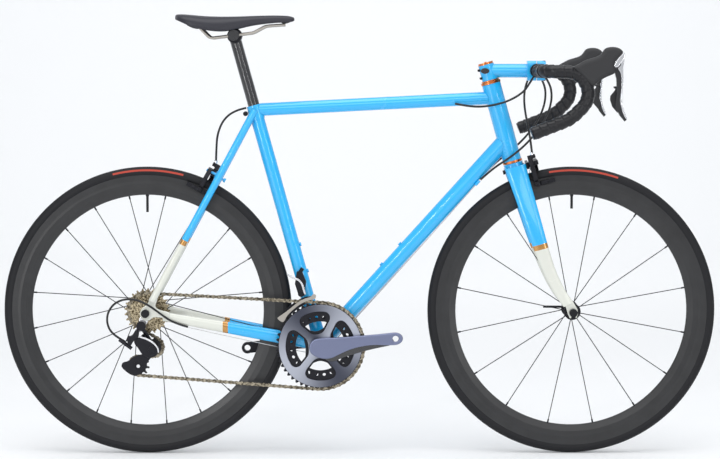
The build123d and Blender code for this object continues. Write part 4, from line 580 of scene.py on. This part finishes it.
# Front and back (x, z) of the two cable stops on the down tube, and their place to each side.
STOP_FRONT = (0.2785, 0.6392)
STOP_BACK = (0.2685, 0.6281)
STOP_OFFSET = 0.0145
FRONT_ROUTES = {
    "rear_brake_housing": [
        (0.399, -0.0665, 0.881), (0.390, -0.060, 0.865), (0.377, -0.054, 0.845), (0.350, -0.046, 0.827),
        (0.319, -0.037, 0.816), (0.284, -0.031, 0.810), (0.252, -0.026, 0.811), (0.221, -0.018, 0.817),
    ],
    "front_brake_housing": [
        (0.399, 0.0665, 0.881), (0.390, 0.058, 0.862), (0.384, 0.038, 0.834), (0.384, 0.012, 0.804),
        (0.389, -0.010, 0.770), (0.395, -0.022, 0.736), (0.399, -0.024, 0.702),
    ],
    "left_shift_housing": [
        (0.421, 0.0665, 0.884), (0.433, 0.063, 0.864), (0.437, 0.055, 0.836), (0.430, 0.046, 0.802),
        (0.411, 0.038, 0.767), (0.382, 0.033, 0.731), (0.347, 0.029, 0.701), (0.310, 0.022, 0.673),
        (STOP_FRONT[0], STOP_OFFSET, STOP_FRONT[1]),
    ],
    "right_shift_housing": [
        (0.421, -0.0665, 0.884), (0.435, -0.064, 0.866), (0.442, -0.057, 0.836), (0.436, -0.047, 0.800),
        (0.416, -0.040, 0.762), (0.385, -0.035, 0.724), (0.347, -0.029, 0.692), (0.309, -0.021, 0.668),
        (STOP_FRONT[0], -STOP_OFFSET, STOP_FRONT[1]),
    ],
}
REAR_ROUTES = {
    "rear_brake_tail": [
        (-0.263, 0, 0.807), (-0.290, 0.001, 0.801), (-0.317, 0.007, 0.779),
        (-0.331, 0.016, 0.746), (-0.334, 0.022, 0.713), (-0.335, 0.024, 0.682),
    ],
    "derailleur_loop": [
        (-0.397, -0.060, 0.303), (-0.428, -0.070, 0.313), (-0.456, -0.082, 0.334), (-0.482, -0.088, 0.355),
        (-0.510, -0.089, 0.369), (-0.540, -0.087, 0.371), (-0.566, -0.084, 0.359), (-0.581, -0.080, 0.335),
        (-0.581, -0.076, 0.307), (-0.566, -0.072, 0.284), (-0.541, -0.069, 0.270),
    ],
}
WIRE_ROUTES = {
    "rear_derailleur_wire": [
        (STOP_BACK[0], -STOP_OFFSET, STOP_BACK[1]), (-0.075, -0.0145, 0.238), (-0.108, -0.017, 0.231),
        (-0.396, -0.0596, 0.3018),
    ],
    "front_derailleur_wire": [
        (STOP_BACK[0], STOP_OFFSET, STOP_BACK[1]), (-0.075, 0.0145, 0.238), (-0.100, 0.005, 0.230),
        (-0.123, -0.008, 0.246), (-0.137, -0.020, 0.370),
    ],
}


def route_length(piece):
    """Length of the drawn curve, in metres."""
    dg = bpy.context.evaluated_depsgraph_get()
    plain = piece.data.copy()
    plain.bevel_depth = 0
    probe = bpy.data.objects.new("probe", plain)
    bpy.context.scene.collection.objects.link(probe)
    dg.update()
    line = probe.evaluated_get(dg).to_mesh()
    places = [v.co.copy() for v in line.vertices]
    bpy.data.objects.remove(probe)
    return sum((b - a).length for a, b in zip(places, places[1:]))


def lay_cords(routes, body, radius, shader, node_name):
    for name, points in routes.items():
        piece = cable(name, points, radius)
        stands_for(piece, body, shader, node_name)
        route_length(piece)


lay_cords(FRONT_ROUTES, "frame", HOUSING_RADIUS, cable_skin, "front_housings")
lay_cords(REAR_ROUTES, "frame", HOUSING_RADIUS, cable_skin, "rear_cables")
lay_cords(WIRE_ROUTES, "frame", WIRE_RADIUS, wire_metal, "rear_cables")

# -------------------------------------------------------------------- tyres

TYRE_HALF_WIDTH = 0.0125
BEAD_REACH = RIM_RADIUS - 0.0042
BEAD_HALF_WIDTH = 0.0084
GROOVE_DEPTH = 0.00018


def tyre(name, axle, body, shader, node_name):
    """Round tread with a centre slick, fine side grooves and thin side walls down to the rim."""
    around = 240
    middle = TYRE_RADIUS - TYRE_HALF_WIDTH
    profile = []
    for k in range(41):
        swing = math.radians(-118 + 236 * k / 40)
        groove = GROOVE_DEPTH * math.cos(swing * 26) if 0.55 < abs(swing) < 1.35 else 0.0
        reach = middle + (TYRE_HALF_WIDTH - 0.0003 + groove) * math.cos(swing)
        profile.append((reach, (TYRE_HALF_WIDTH - 0.0001) * math.sin(swing)))
    profile.append((BEAD_REACH, BEAD_HALF_WIDTH))
    profile.append((BEAD_REACH, -BEAD_HALF_WIDTH))
    points = []
    for i in range(around):
        turn = 2 * math.pi * i / around
        along, up = math.cos(turn), math.sin(turn)
        for radius, y in profile:
            points.append((axle.x + radius * along, axle.y + y, axle.z + radius * up))
    piece = mesh_object(name, points, ring_faces(around, len(profile), close_rings=True))
    return stands_for(piece, body, shader, node_name)


tyre("front_tyre_skin", FRONT_AXLE, "front_wheel", front_tyre_rubber, "front_tyre")
tyre("rear_tyre_skin", REAR_AXLE, "rear_wheel", rear_tyre_rubber, "rear_tyre")

# -------------------------------------------------- flat and softened pieces


def rounded(corners, rounds=4):
    """Cuts the corners of a closed outline until it is smooth."""
    points = [Vector(c) for c in corners]
    for _ in range(rounds):
        cut = []
        for first, second in zip(points, points[1:] + points[:1]):
            cut += [first.lerp(second, 0.25), first.lerp(second, 0.75)]
        points = cut
    return points


def plate(name, outlines, y_low, y_high, edge, body, shader, *node_names):
    """A plate across the bicycle with rounded edges; the outlines after the first are holes."""
    curve = bpy.data.curves.new(name, "CURVE")
    curve.dimensions = "2D"
    curve.fill_mode = "BOTH"
    curve.extrude = max((y_high - y_low) / 2 - edge, 0.0)
    curve.bevel_depth = edge
    curve.bevel_resolution = 3
    curve.offset = -edge
    for outline in outlines:
        spline = curve.splines.new("POLY")
        spline.points.add(len(outline) - 1)
        for target, point in zip(spline.points, outline):
            target.co = (point[0], point[1], 0, 1)
        spline.use_cyclic_u = True
    shape = bpy.data.objects.new(name + "_outline", curve)
    bpy.context.scene.collection.objects.link(shape)
    dg = bpy.context.evaluated_depsgraph_get()
    mesh = bpy.data.meshes.new_from_object(shape.evaluated_get(dg))
    bpy.data.objects.remove(shape)
    for vertex in mesh.vertices:
        x, z, depth = vertex.co
        vertex.co = (x, (y_low + y_high) / 2 - depth, z)
    piece = bpy.data.objects.new(name, mesh)
    bpy.context.scene.collection.objects.link(piece)
    mesh.shade_smooth()
    mesh.set_sharp_from_angle(angle=math.radians(40))
    return stands_for(piece, body, shader, *node_names)


def ellipse(centre, reach, rise, count=48):
    turns = [2 * math.pi * k / count for k in range(count)]
    return [(centre[0] + reach * math.cos(turn), centre[1] + rise * math.sin(turn)) for turn in turns]


def circle(centre, radius, count=48):
    return ellipse(centre, radius, radius, count)


def moved(outline, centre):
    return [(centre[0] + x, centre[1] + z) for x, z in outline]


def millimetres(outline):
    return [(x / 1000, z / 1000) for x, z in outline]


def disc(name, centre, radius, y_low, y_high, edge, body, shader, *node_names, hole=0.0):
    outlines = [circle(centre, radius)]
    if hole:
        outlines.append(circle(centre, hole))
    return plate(name, outlines, y_low, y_high, edge, body, shader, *node_names)


def softened(node_name, body, shader, grid, rounds):
    """The CAD shape with its edges melted as on a moulded or forged piece."""
    piece = bpy.data.objects.new(node_name + "_form", nodes[node_name].data.copy())
    bpy.context.scene.collection.objects.link(piece)
    skin = piece.modifiers.new("skin", "REMESH")
    skin.mode = "VOXEL"
    skin.voxel_size = grid
    melt = piece.modifiers.new("melt", "SMOOTH")
    melt.factor = 0.5
    melt.iterations = rounds
    dg = bpy.context.evaluated_depsgraph_get()
    mesh = bpy.data.meshes.new_from_object(piece.evaluated_get(dg))
    bpy.data.objects.remove(piece)
    piece = bpy.data.objects.new(node_name + "_form", mesh)
    bpy.context.scene.collection.objects.link(piece)
    mesh.shade_smooth()
    return stands_for(piece, body, shader, node_name)


def rod_between(name, start, end, radius, body, shader):
    middle = tuple((Vector(start) + Vector(end)) / 2)
    return stands_for(cable(name, [start, middle, end], radius), body, shader)


# ------------------------------------------------------------------- cranks

CENTRE = (BOTTOM_BRACKET.x, BOTTOM_BRACKET.z)
CRANK_TILT = 6
CRANK_LENGTH = 0.175
PEDAL_BORE_RADIUS = 0.0071
SPINDLE_RADIUS = 0.0120
SPINDLE_BORE_RADIUS = 0.0100

# The four arms of the spider, as turns from the X axis, and the windows between them.
ARM_TURNS = [math.radians(CRANK_TILT + turn) for turn in (57, 134, 226, 303)]
ARM_TILT = math.radians(CRANK_TILT)
WINDOW_REACH = 0.0805
CORNER_TURN = 0.15

# Chainrings.
TEETH = 50
TOOTH_ROOT = 0.0972
TOOTH_TIP = 0.1032
RING_FACE = 0.0962
RING_BORE = 0.084
INNER_RING_FACE = 0.0765
INNER_RING_BORE = 0.0570
HOLE_COUNT = 24
HOLE_REACH = 0.0668
HOLE_RADIUS = 0.0037


def polar(reach, turn):
    return (CENTRE[0] + reach * math.cos(turn), CENTRE[1] + reach * math.sin(turn))


def spider_window(first, second, half_arm, inner, outer):
    """The opening between two arms of the spider: straight sides along them, round outside."""
    start = first + math.asin(half_arm / outer)
    finish = second - math.asin(half_arm / outer)
    corners = []
    for k in range(7):
        corners.append(polar(outer, start + CORNER_TURN + (finish - start - 2 * CORNER_TURN) * k / 6))
    for reach in (outer * 0.87, outer * 0.6, inner * 1.25):
        corners.append(polar(reach, second - math.asin(min(half_arm / reach, 0.9))))
    corners.append(polar(inner, (first + second) / 2))
    for reach in (inner * 1.25, outer * 0.6, outer * 0.87):
        corners.append(polar(reach, first + math.asin(min(half_arm / reach, 0.9))))
    return rounded(corners)


def spider_windows(half_arm, inner, outer):
    turns = ARM_TURNS + [ARM_TURNS[0] + 2 * math.pi]
    return [spider_window(a, b, half_arm, inner, outer) for a, b in zip(turns, turns[1:])]


def along_arm(outline):
    """Moves (along, up) points of the right crank arm to the model's axes."""
    x, z = math.cos(ARM_TILT), math.sin(ARM_TILT)
    return [(CENTRE[0] + s * x - t * z, CENTRE[1] + s * z + t * x) for s, t in outline]


def toothed(teeth, root, tip, count=10):
    """A ring of rounded teeth with a flat gap between two of them."""
    outline = []
    for k in range(teeth * count):
        share = (k % count) / count
        lift = max(0.0, math.sin(math.pi * min(max((share - 0.15) / 0.7, 0.0), 1.0))) ** 0.8
        turn = 2 * math.pi * (k + 0.35 * count) / (teeth * count)
        outline.append(polar(root + (tip - root) * lift, turn))
    return outline


plate("chainring_teeth", [toothed(TEETH, TOOTH_ROOT, TOOTH_TIP), circle(CENTRE, RING_BORE, 96)],
      -0.0468, -0.0452, 0.0003, "crank", black_metal, "outer_chainring")
# The chainring face carries painted highlight and shade round the ring.
plate("chainring_face", [circle(CENTRE, RING_FACE, 160), *spider_windows(0.0082, 0.027, WINDOW_REACH)],
      -0.0512, -0.0472, 0.0012, "crank", ring_sheen_grey, "outer_chainring")
plate("spider_walls", [circle(CENTRE, 0.090, 120), *spider_windows(0.0120, 0.034, WINDOW_REACH - 0.0065)],
      -0.0468, -0.0432, 0.0006, "crank", black_metal, "crank_arm_right")
# Crank arm, and a black plate showing below it as painted shade along its lower edge: distances along the arm
# and across it, from the bottom bracket.
ARM_OUTLINE = [
    (-0.024, -0.014), (-0.027, 0.002), (-0.018, 0.017), (0.000, 0.020), (0.030, 0.0175), (0.090, 0.0155),
    (0.150, 0.0142), (0.178, 0.0150), (0.189, 0.0090), (0.193, 0.0), (0.189, -0.0090), (0.178, -0.0145),
    (0.160, -0.0135), (0.142, -0.0110), (0.122, -0.0085), (0.096, -0.0090), (0.070, -0.0130),
    (0.045, -0.0210), (0.020, -0.0310), (-0.005, -0.0270),
]
ARM_SHADE = [
    (0.015, -0.010), (0.060, 0.010), (0.150, 0.008), (0.172, 0.000), (0.168, -0.0140),
    (0.140, -0.0165), (0.110, -0.0200), (0.080, -0.0250), (0.050, -0.0310), (0.024, -0.0400), (0.004, -0.030),
]
PEDAL_EYE = along_arm([(CRANK_LENGTH, 0.0)])[0]
plate("crank_face", [rounded(along_arm(ARM_OUTLINE), 3), circle(PEDAL_EYE, PEDAL_BORE_RADIUS)],
      -0.0655, -0.0525, 0.0024, "crank", grey_metal, "crank_arm_right")
# A black plate behind the arm's face: painted shade along the arm's lower edge.
plate("crank_shade_plate", [rounded(along_arm(ARM_SHADE), 3)],
      -0.0600, -0.0508, 0.0020, "crank", black_gloss, "crank_arm_right")
disc("crank_spindle", CENTRE, SPINDLE_RADIUS, -0.0540, 0.0560, 0.0004,
     "crank", black_metal, "crank_arm_right", hole=SPINDLE_BORE_RADIUS)
disc("spindle_cap", CENTRE, SPINDLE_BORE_RADIUS - 0.0002, -0.0540, -0.0500, 0.0006,
     "crank", black_metal, "crank_arm_right")
HOLE_TURNS = [2 * math.pi * (k + 0.5) / HOLE_COUNT for k in range(HOLE_COUNT)]
RING_HOLES = [circle(polar(HOLE_REACH, turn), HOLE_RADIUS, 16) for turn in HOLE_TURNS]
INNER_RING = [circle(CENTRE, INNER_RING_FACE, 96), circle(CENTRE, INNER_RING_BORE, 96), *RING_HOLES]
plate("inner_ring_face", INNER_RING, -0.0465, -0.0448, 0.0004, "crank", black_metal)

# --------------------------------------------------------- levers and brakes

# Seen from the side, from the middle of the bar's clamp.
HOOD_OUTLINE = [
    (0.063, 0.0075), (0.078, 0.0160), (0.095, 0.0255), (0.112, 0.0300), (0.125, 0.0350), (0.131, 0.0420),
    (0.136, 0.0500), (0.145, 0.0535), (0.157, 0.0540), (0.168, 0.0510), (0.177, 0.0430), (0.173, 0.0355),
    (0.162, 0.0265), (0.155, 0.0170), (0.160, 0.0050), (0.158, -0.0055), (0.141, -0.0120), (0.125, -0.0200),
    (0.109, -0.0360), (0.098, -0.0260), (0.086, -0.0130), (0.073, -0.0010),
]
LEVER_HEAD_OUTLINE = [
    (0.175, 0.0440), (0.181, 0.0370), (0.179, 0.0270), (0.171, 0.0170), (0.166, 0.0080), (0.156, 0.0070),
    (0.154, 0.0140), (0.161, 0.0270), (0.171, 0.0370),
]
BLADE_OUTLINE = [
    (0.163, 0.030), (0.173, 0.032), (0.180, 0.027), (0.178, 0.014), (0.1765, -0.002), (0.1775, -0.022),
    (0.1735, -0.062), (0.178, -0.086), (0.187, -0.1055), (0.184, -0.1085), (0.1755, -0.092), (0.1705, -0.066),
    (0.1735, -0.024), (0.1715, -0.004), (0.164, 0.006), (0.161, 0.020),
]
BAR_PLACE = (BAR_CENTRE.x, BAR_CENTRE.z)
HOOD_HALF_WIDTH = 0.0165
LEVER_HEAD_HALF_WIDTH = 0.0120
BLADE_HALF_WIDTH = 0.0075
BARREL_RADIUS = 0.0040
for side_name, side in (("left", 1), ("right", -1)):
    middle = side * BAR_HALF_WIDTH
    plate(f"hood_{side_name}", [rounded(moved(HOOD_OUTLINE, BAR_PLACE), 3)],
          middle - HOOD_HALF_WIDTH, middle + HOOD_HALF_WIDTH, 0.0085, "fork", hood_rubber, "brake_hoods")
    plate(f"lever_head_{side_name}", [rounded(moved(LEVER_HEAD_OUTLINE, BAR_PLACE), 2)],
          middle - LEVER_HEAD_HALF_WIDTH, middle + LEVER_HEAD_HALF_WIDTH, 0.0030,
          f"brake_lever_{side_name}", silver)
    plate(f"lever_blade_{side_name}", [rounded(moved(BLADE_OUTLINE, BAR_PLACE), 3)],
          middle - BLADE_HALF_WIDTH, middle + BLADE_HALF_WIDTH, 0.0012, f"brake_lever_{side_name}", silver)
for side_name in ("left", "right"):
    softened(f"brake_lever_{side_name}", f"brake_lever_{side_name}", lever_blade_metal, 0.0007, 6)
    softened(f"shift_paddle_{side_name}", f"shift_paddle_{side_name}", black_plastic, 0.0005, 6)
for end in ("front", "rear"):
    softened(f"{end}_brake_y_arm", f"{end}_brake_y_arm", black_metal, 0.0007, 4)
    softened(f"{end}_brake_c_arm", f"{end}_brake_c_arm", black_metal, 0.0007, 4)
rod_between("front_brake_barrel", (0.3990, -0.0240, 0.7040), (0.3965, -0.0245, 0.6880), BARREL_RADIUS,
            "fork", silver)
rod_between("front_brake_wire", (0.3965, -0.0245, 0.6880), (0.3930, -0.0260, 0.6560), WIRE_RADIUS,
            "fork", wire_metal)
rod_between("rear_brake_barrel", (-0.3350, 0.0240, 0.6840), (-0.3370, 0.0245, 0.6680), BARREL_RADIUS,
            "frame", silver)

# --------------------------------------------------- derailleurs and dropouts

# Outlines from here on are in millimetres: forward and up.
# Rear derailleur: the outer link with a silver strip along its upper edge as a painted highlight, the knuckle
# and the cage plate.
RD_LINK = [(-519, 279), (-504, 281), (-487, 276), (-473, 265), (-464, 252), (-465, 241),
           (-476, 234), (-492, 235), (-503, 243), (-511, 257), (-520, 267)]
RD_HIGHLIGHT = [(-509, 285), (-490, 280), (-473, 270), (-462, 256), (-462, 245), (-465, 246),
           (-466, 256), (-476, 267), (-491, 276), (-508, 281)]
RD_KNUCKLE = [(-535, 285), (-535, 267), (-527, 260), (-520, 274), (-508, 280), (-508, 300),
              (-514, 302), (-524, 284)]
RD_PLATE = [(-553, 212), (-550, 218), (-538, 220), (-529, 228), (-518, 234), (-500, 235),
            (-486, 245), (-476, 241), (-483, 229), (-493, 221), (-494, 207), (-503, 194),
            (-518, 186), (-530, 187), (-544, 197), (-553, 206)]
RD_PLATE_HOLE = [(-524, 212), (-518, 202), (-508, 202), (-503, 210), (-507, 219), (-518, 221)]
plate("rd_link", [rounded(millimetres(RD_LINK), 3)], -0.0810, -0.0700, 0.0030, "frame", black_metal)
# A silver strip on the link's upper edge: a painted highlight.
plate("rd_link_highlight", [rounded(millimetres(RD_HIGHLIGHT), 3)], -0.0822, -0.0790, 0.0008, "frame", silver)
plate("rd_knuckle", [rounded(millimetres(RD_KNUCKLE), 3)], -0.0850, -0.0725, 0.0025, "frame", black_metal)
plate("rd_cage_plate", [rounded(millimetres(RD_PLATE), 3), rounded(millimetres(RD_PLATE_HOLE), 3)],
      -0.0388, -0.0368, 0.0006, "rd_cage", black_metal)
disc("rd_lower_pivot", (-0.4787, 0.2525), 0.0085, -0.0835, -0.0805, 0.0010, "frame", black_metal)
disc("rd_pulley_bolt", (-0.5139, 0.2089), 0.0042, -0.0405, -0.0385, 0.0006, "rd_cage", silver)
rod_between("rd_barrel", (-0.5540, -0.0705, 0.2750), (-0.5255, -0.0740, 0.2545), 0.0044,
            "frame", black_metal)

# Rear dropouts: a ring round the axle with an arm to each stay, and the hanger below.
DROPOUT = [(-484, 370), (-486, 362), (-491, 355), (-501, 348), (-507, 337), (-506, 328), (-501, 321),
           (-491, 317), (-483, 320), (-476, 327), (-460, 326), (-440, 322), (-436, 338), (-462, 343),
           (-472, 351), (-467, 364), (-465, 372)]
HANGER = [(-507, 329), (-499, 322), (-487, 319), (-490, 312), (-497, 303), (-502, 293), (-512, 290),
          (-519, 297), (-514, 306), (-509, 316)]
AXLE_SPOT = circle((REAR_AXLE.x, REAR_AXLE.z), 0.0052, 24)
for low, high in ((-0.0710, -0.0650), (0.0650, 0.0710)):
    plate("dropout", [rounded(millimetres(DROPOUT), 2), AXLE_SPOT], low, high, 0.0016,
          "frame", cream_paint, "dropouts")
plate("hanger", [rounded(millimetres(HANGER), 2)], -0.0705, -0.0655, 0.0012, "frame", silver)

# Front derailleur: a slim bright cage round the chain and its arm.
FD_PLATE = [(-191, 321), (-179, 312), (-174, 315), (-167, 330), (-142, 352), (-122, 363), (-102, 366),
            (-100, 377), (-108, 379), (-113, 371), (-127, 368), (-145, 358), (-167, 339), (-188, 325)]
FD_INNER = [(-186, 314), (-160, 329), (-135, 349), (-110, 361), (-104, 371), (-120, 373),
            (-150, 361), (-182, 330)]
FD_ARM = [(-168, 427), (-153, 416), (-141, 413), (-131, 402), (-127, 387), (-124, 376),
          (-128, 375), (-132, 387), (-135, 399), (-142, 408), (-154, 411), (-169, 421)]
plate("fd_outer_plate", [rounded(millimetres(FD_PLATE), 2)], -0.0518, -0.0506, 0.0004,
      "fd_cage", titanium, "fd_cage")
plate("fd_inner_plate", [rounded(millimetres(FD_INNER), 2)], -0.0404, -0.0392, 0.0004,
      "fd_cage", black_metal)
plate("fd_arm", [rounded(millimetres(FD_ARM), 3)], -0.0385, -0.0345, 0.0008, "frame", silver)
for place in ((-0.1800, 0.3175), (-0.1055, 0.3725)):
    disc("fd_cage_spacer", place, 0.0022, -0.0508, -0.0400, 0.0004, "fd_cage", silver)

# ------------------------------------------------ cable stops, stem, seat, valves

for side_name, side in (("right", -1), ("left", 1)):
    rod_between(f"down_tube_ferrule_{side_name}", (0.2800, side * STOP_OFFSET, 0.6409),
                (0.2735, side * STOP_OFFSET, 0.6336), 0.0034, "frame", silver)
plate("stem_window", [ellipse((0.2895, 0.8925), 0.0100, 0.0065, 32)], -0.0208, -0.0188, 0.0004,
      "fork", black_gloss)
disc("post_head", (-0.2885, 0.9735), 0.0172, -0.0205, 0.0205, 0.0025, "seat", black_metal)
TAIL_TAB = [(-404, 1008), (-400, 999), (-390, 993), (-378, 989), (-368, 990), (-360, 996), (-360, 1008)]
NOSE_TAB = [(-186, 1010), (-182, 1004), (-175, 1000), (-165, 1003), (-153, 1008), (-150, 1013), (-160, 1016)]
plate("saddle_tail_tab", [rounded(millimetres(TAIL_TAB), 2)], -0.028, 0.028, 0.003,
      "seat", black_plastic, "saddle_shell")
plate("saddle_nose_tab", [rounded(millimetres(NOSE_TAB), 2)], -0.012, 0.012, 0.002,
      "seat", black_plastic)
disc("seat_binder_bolt", (-0.2643, 0.7935), 0.0055, -0.0115, 0.0115, 0.0008, "frame", black_metal)
disc("post_head_bolt", (-0.2880, 0.9650), 0.0032, -0.0212, -0.0200, 0.0004, "seat", silver)
for end, axle in (("front", FRONT_AXLE), ("rear", REAR_AXLE)):
    top = axle + Vector((0, 0, RIM_INNER_RADIUS + 0.002))
    foot = top - Vector((0, 0, 0.005))
    rod_between(f"{end}_valve_nut", tuple(top), tuple(foot), 0.0040, f"{end}_wheel", black_metal)

# ------------------------------------------------------------ camera and room

CAMERA_PLACE = Vector((-0.0104, -5.24, 0.920))
CAMERA_AIM = Vector((0.0010, 0.0, 0.524))
camera_data = bpy.data.cameras.new("camera")
camera_data.sensor_width = 36.0
camera_data.lens = 112.8
camera = bpy.data.objects.new("camera", camera_data)
camera.location = CAMERA_PLACE
camera.rotation_euler = (CAMERA_AIM - CAMERA_PLACE).to_track_quat("-Z", "Y").to_euler()
bpy.context.scene.collection.objects.link(camera)
bpy.context.scene.camera = camera


def backdrop():
    """Pale floor that curves up into a wall behind the bicycle."""
    half, front, back, top, bend = 14.0, -12.0, 8.0, 9.0, 3.0
    outline = [(front, 0.0), (back - bend, 0.0)]
    outline += [
        (back - bend + bend * math.sin(math.radians(a)), bend - bend * math.cos(math.radians(a)))
        for a in range(6, 91, 6)
    ]
    outline.append((back, top))
    points = [(x, y, z - 0.0002) for x in (-half, half) for y, z in outline]
    count = len(outline)
    faces = [(i, i + count, i + count + 1, i + 1) for i in range(count - 1)]
    piece = mesh_object("backdrop", points, faces)
    shader = Shader("studio_paper")
    shader.set(Base_Color=PAPER, Roughness=0.75)
    return dress(piece, shader)


def soft_light(name, place, aim, size, power):
    data = bpy.data.lights.new(name, "AREA")
    data.shape = "RECTANGLE"
    data.size, data.size_y = size
    data.energy = power
    lamp = bpy.data.objects.new(name, data)
    lamp.location = place
    lamp.rotation_euler = (Vector(aim) - Vector(place)).to_track_quat("-Z", "Y").to_euler()
    bpy.context.scene.collection.objects.link(lamp)
    return lamp


room = [
    backdrop(),
    soft_light("overhead", (0, -0.6, 3.4), (0, 0, 0.4), (4.5, 2.4), 80),
    soft_light("front_fill", (0.5, -5.5, 2.6), (0, 0, 0.5), (4.0, 2.0), 46),
    soft_light("left_strip", (-2.2, -3.6, 1.3), (0, 0, 0.6), (0.16, 2.6), 34),
    soft_light("right_strip", (2.6, -3.0, 1.2), (0.2, 0, 0.6), (0.14, 2.4), 16),
    soft_light("wall_wash", (0, 3.4, 4.2), (0, 8.0, 1.2), (8.0, 1.6), 120),
]

world = bpy.data.worlds.new("room_light")
bpy.context.scene.world = world
world.use_nodes = True
background = world.node_tree.nodes["Background"]
background.inputs["Color"].default_value = SKY
background.inputs["Strength"].default_value = 0.62
bpy.context.scene.view_settings.view_transform = "Standard"
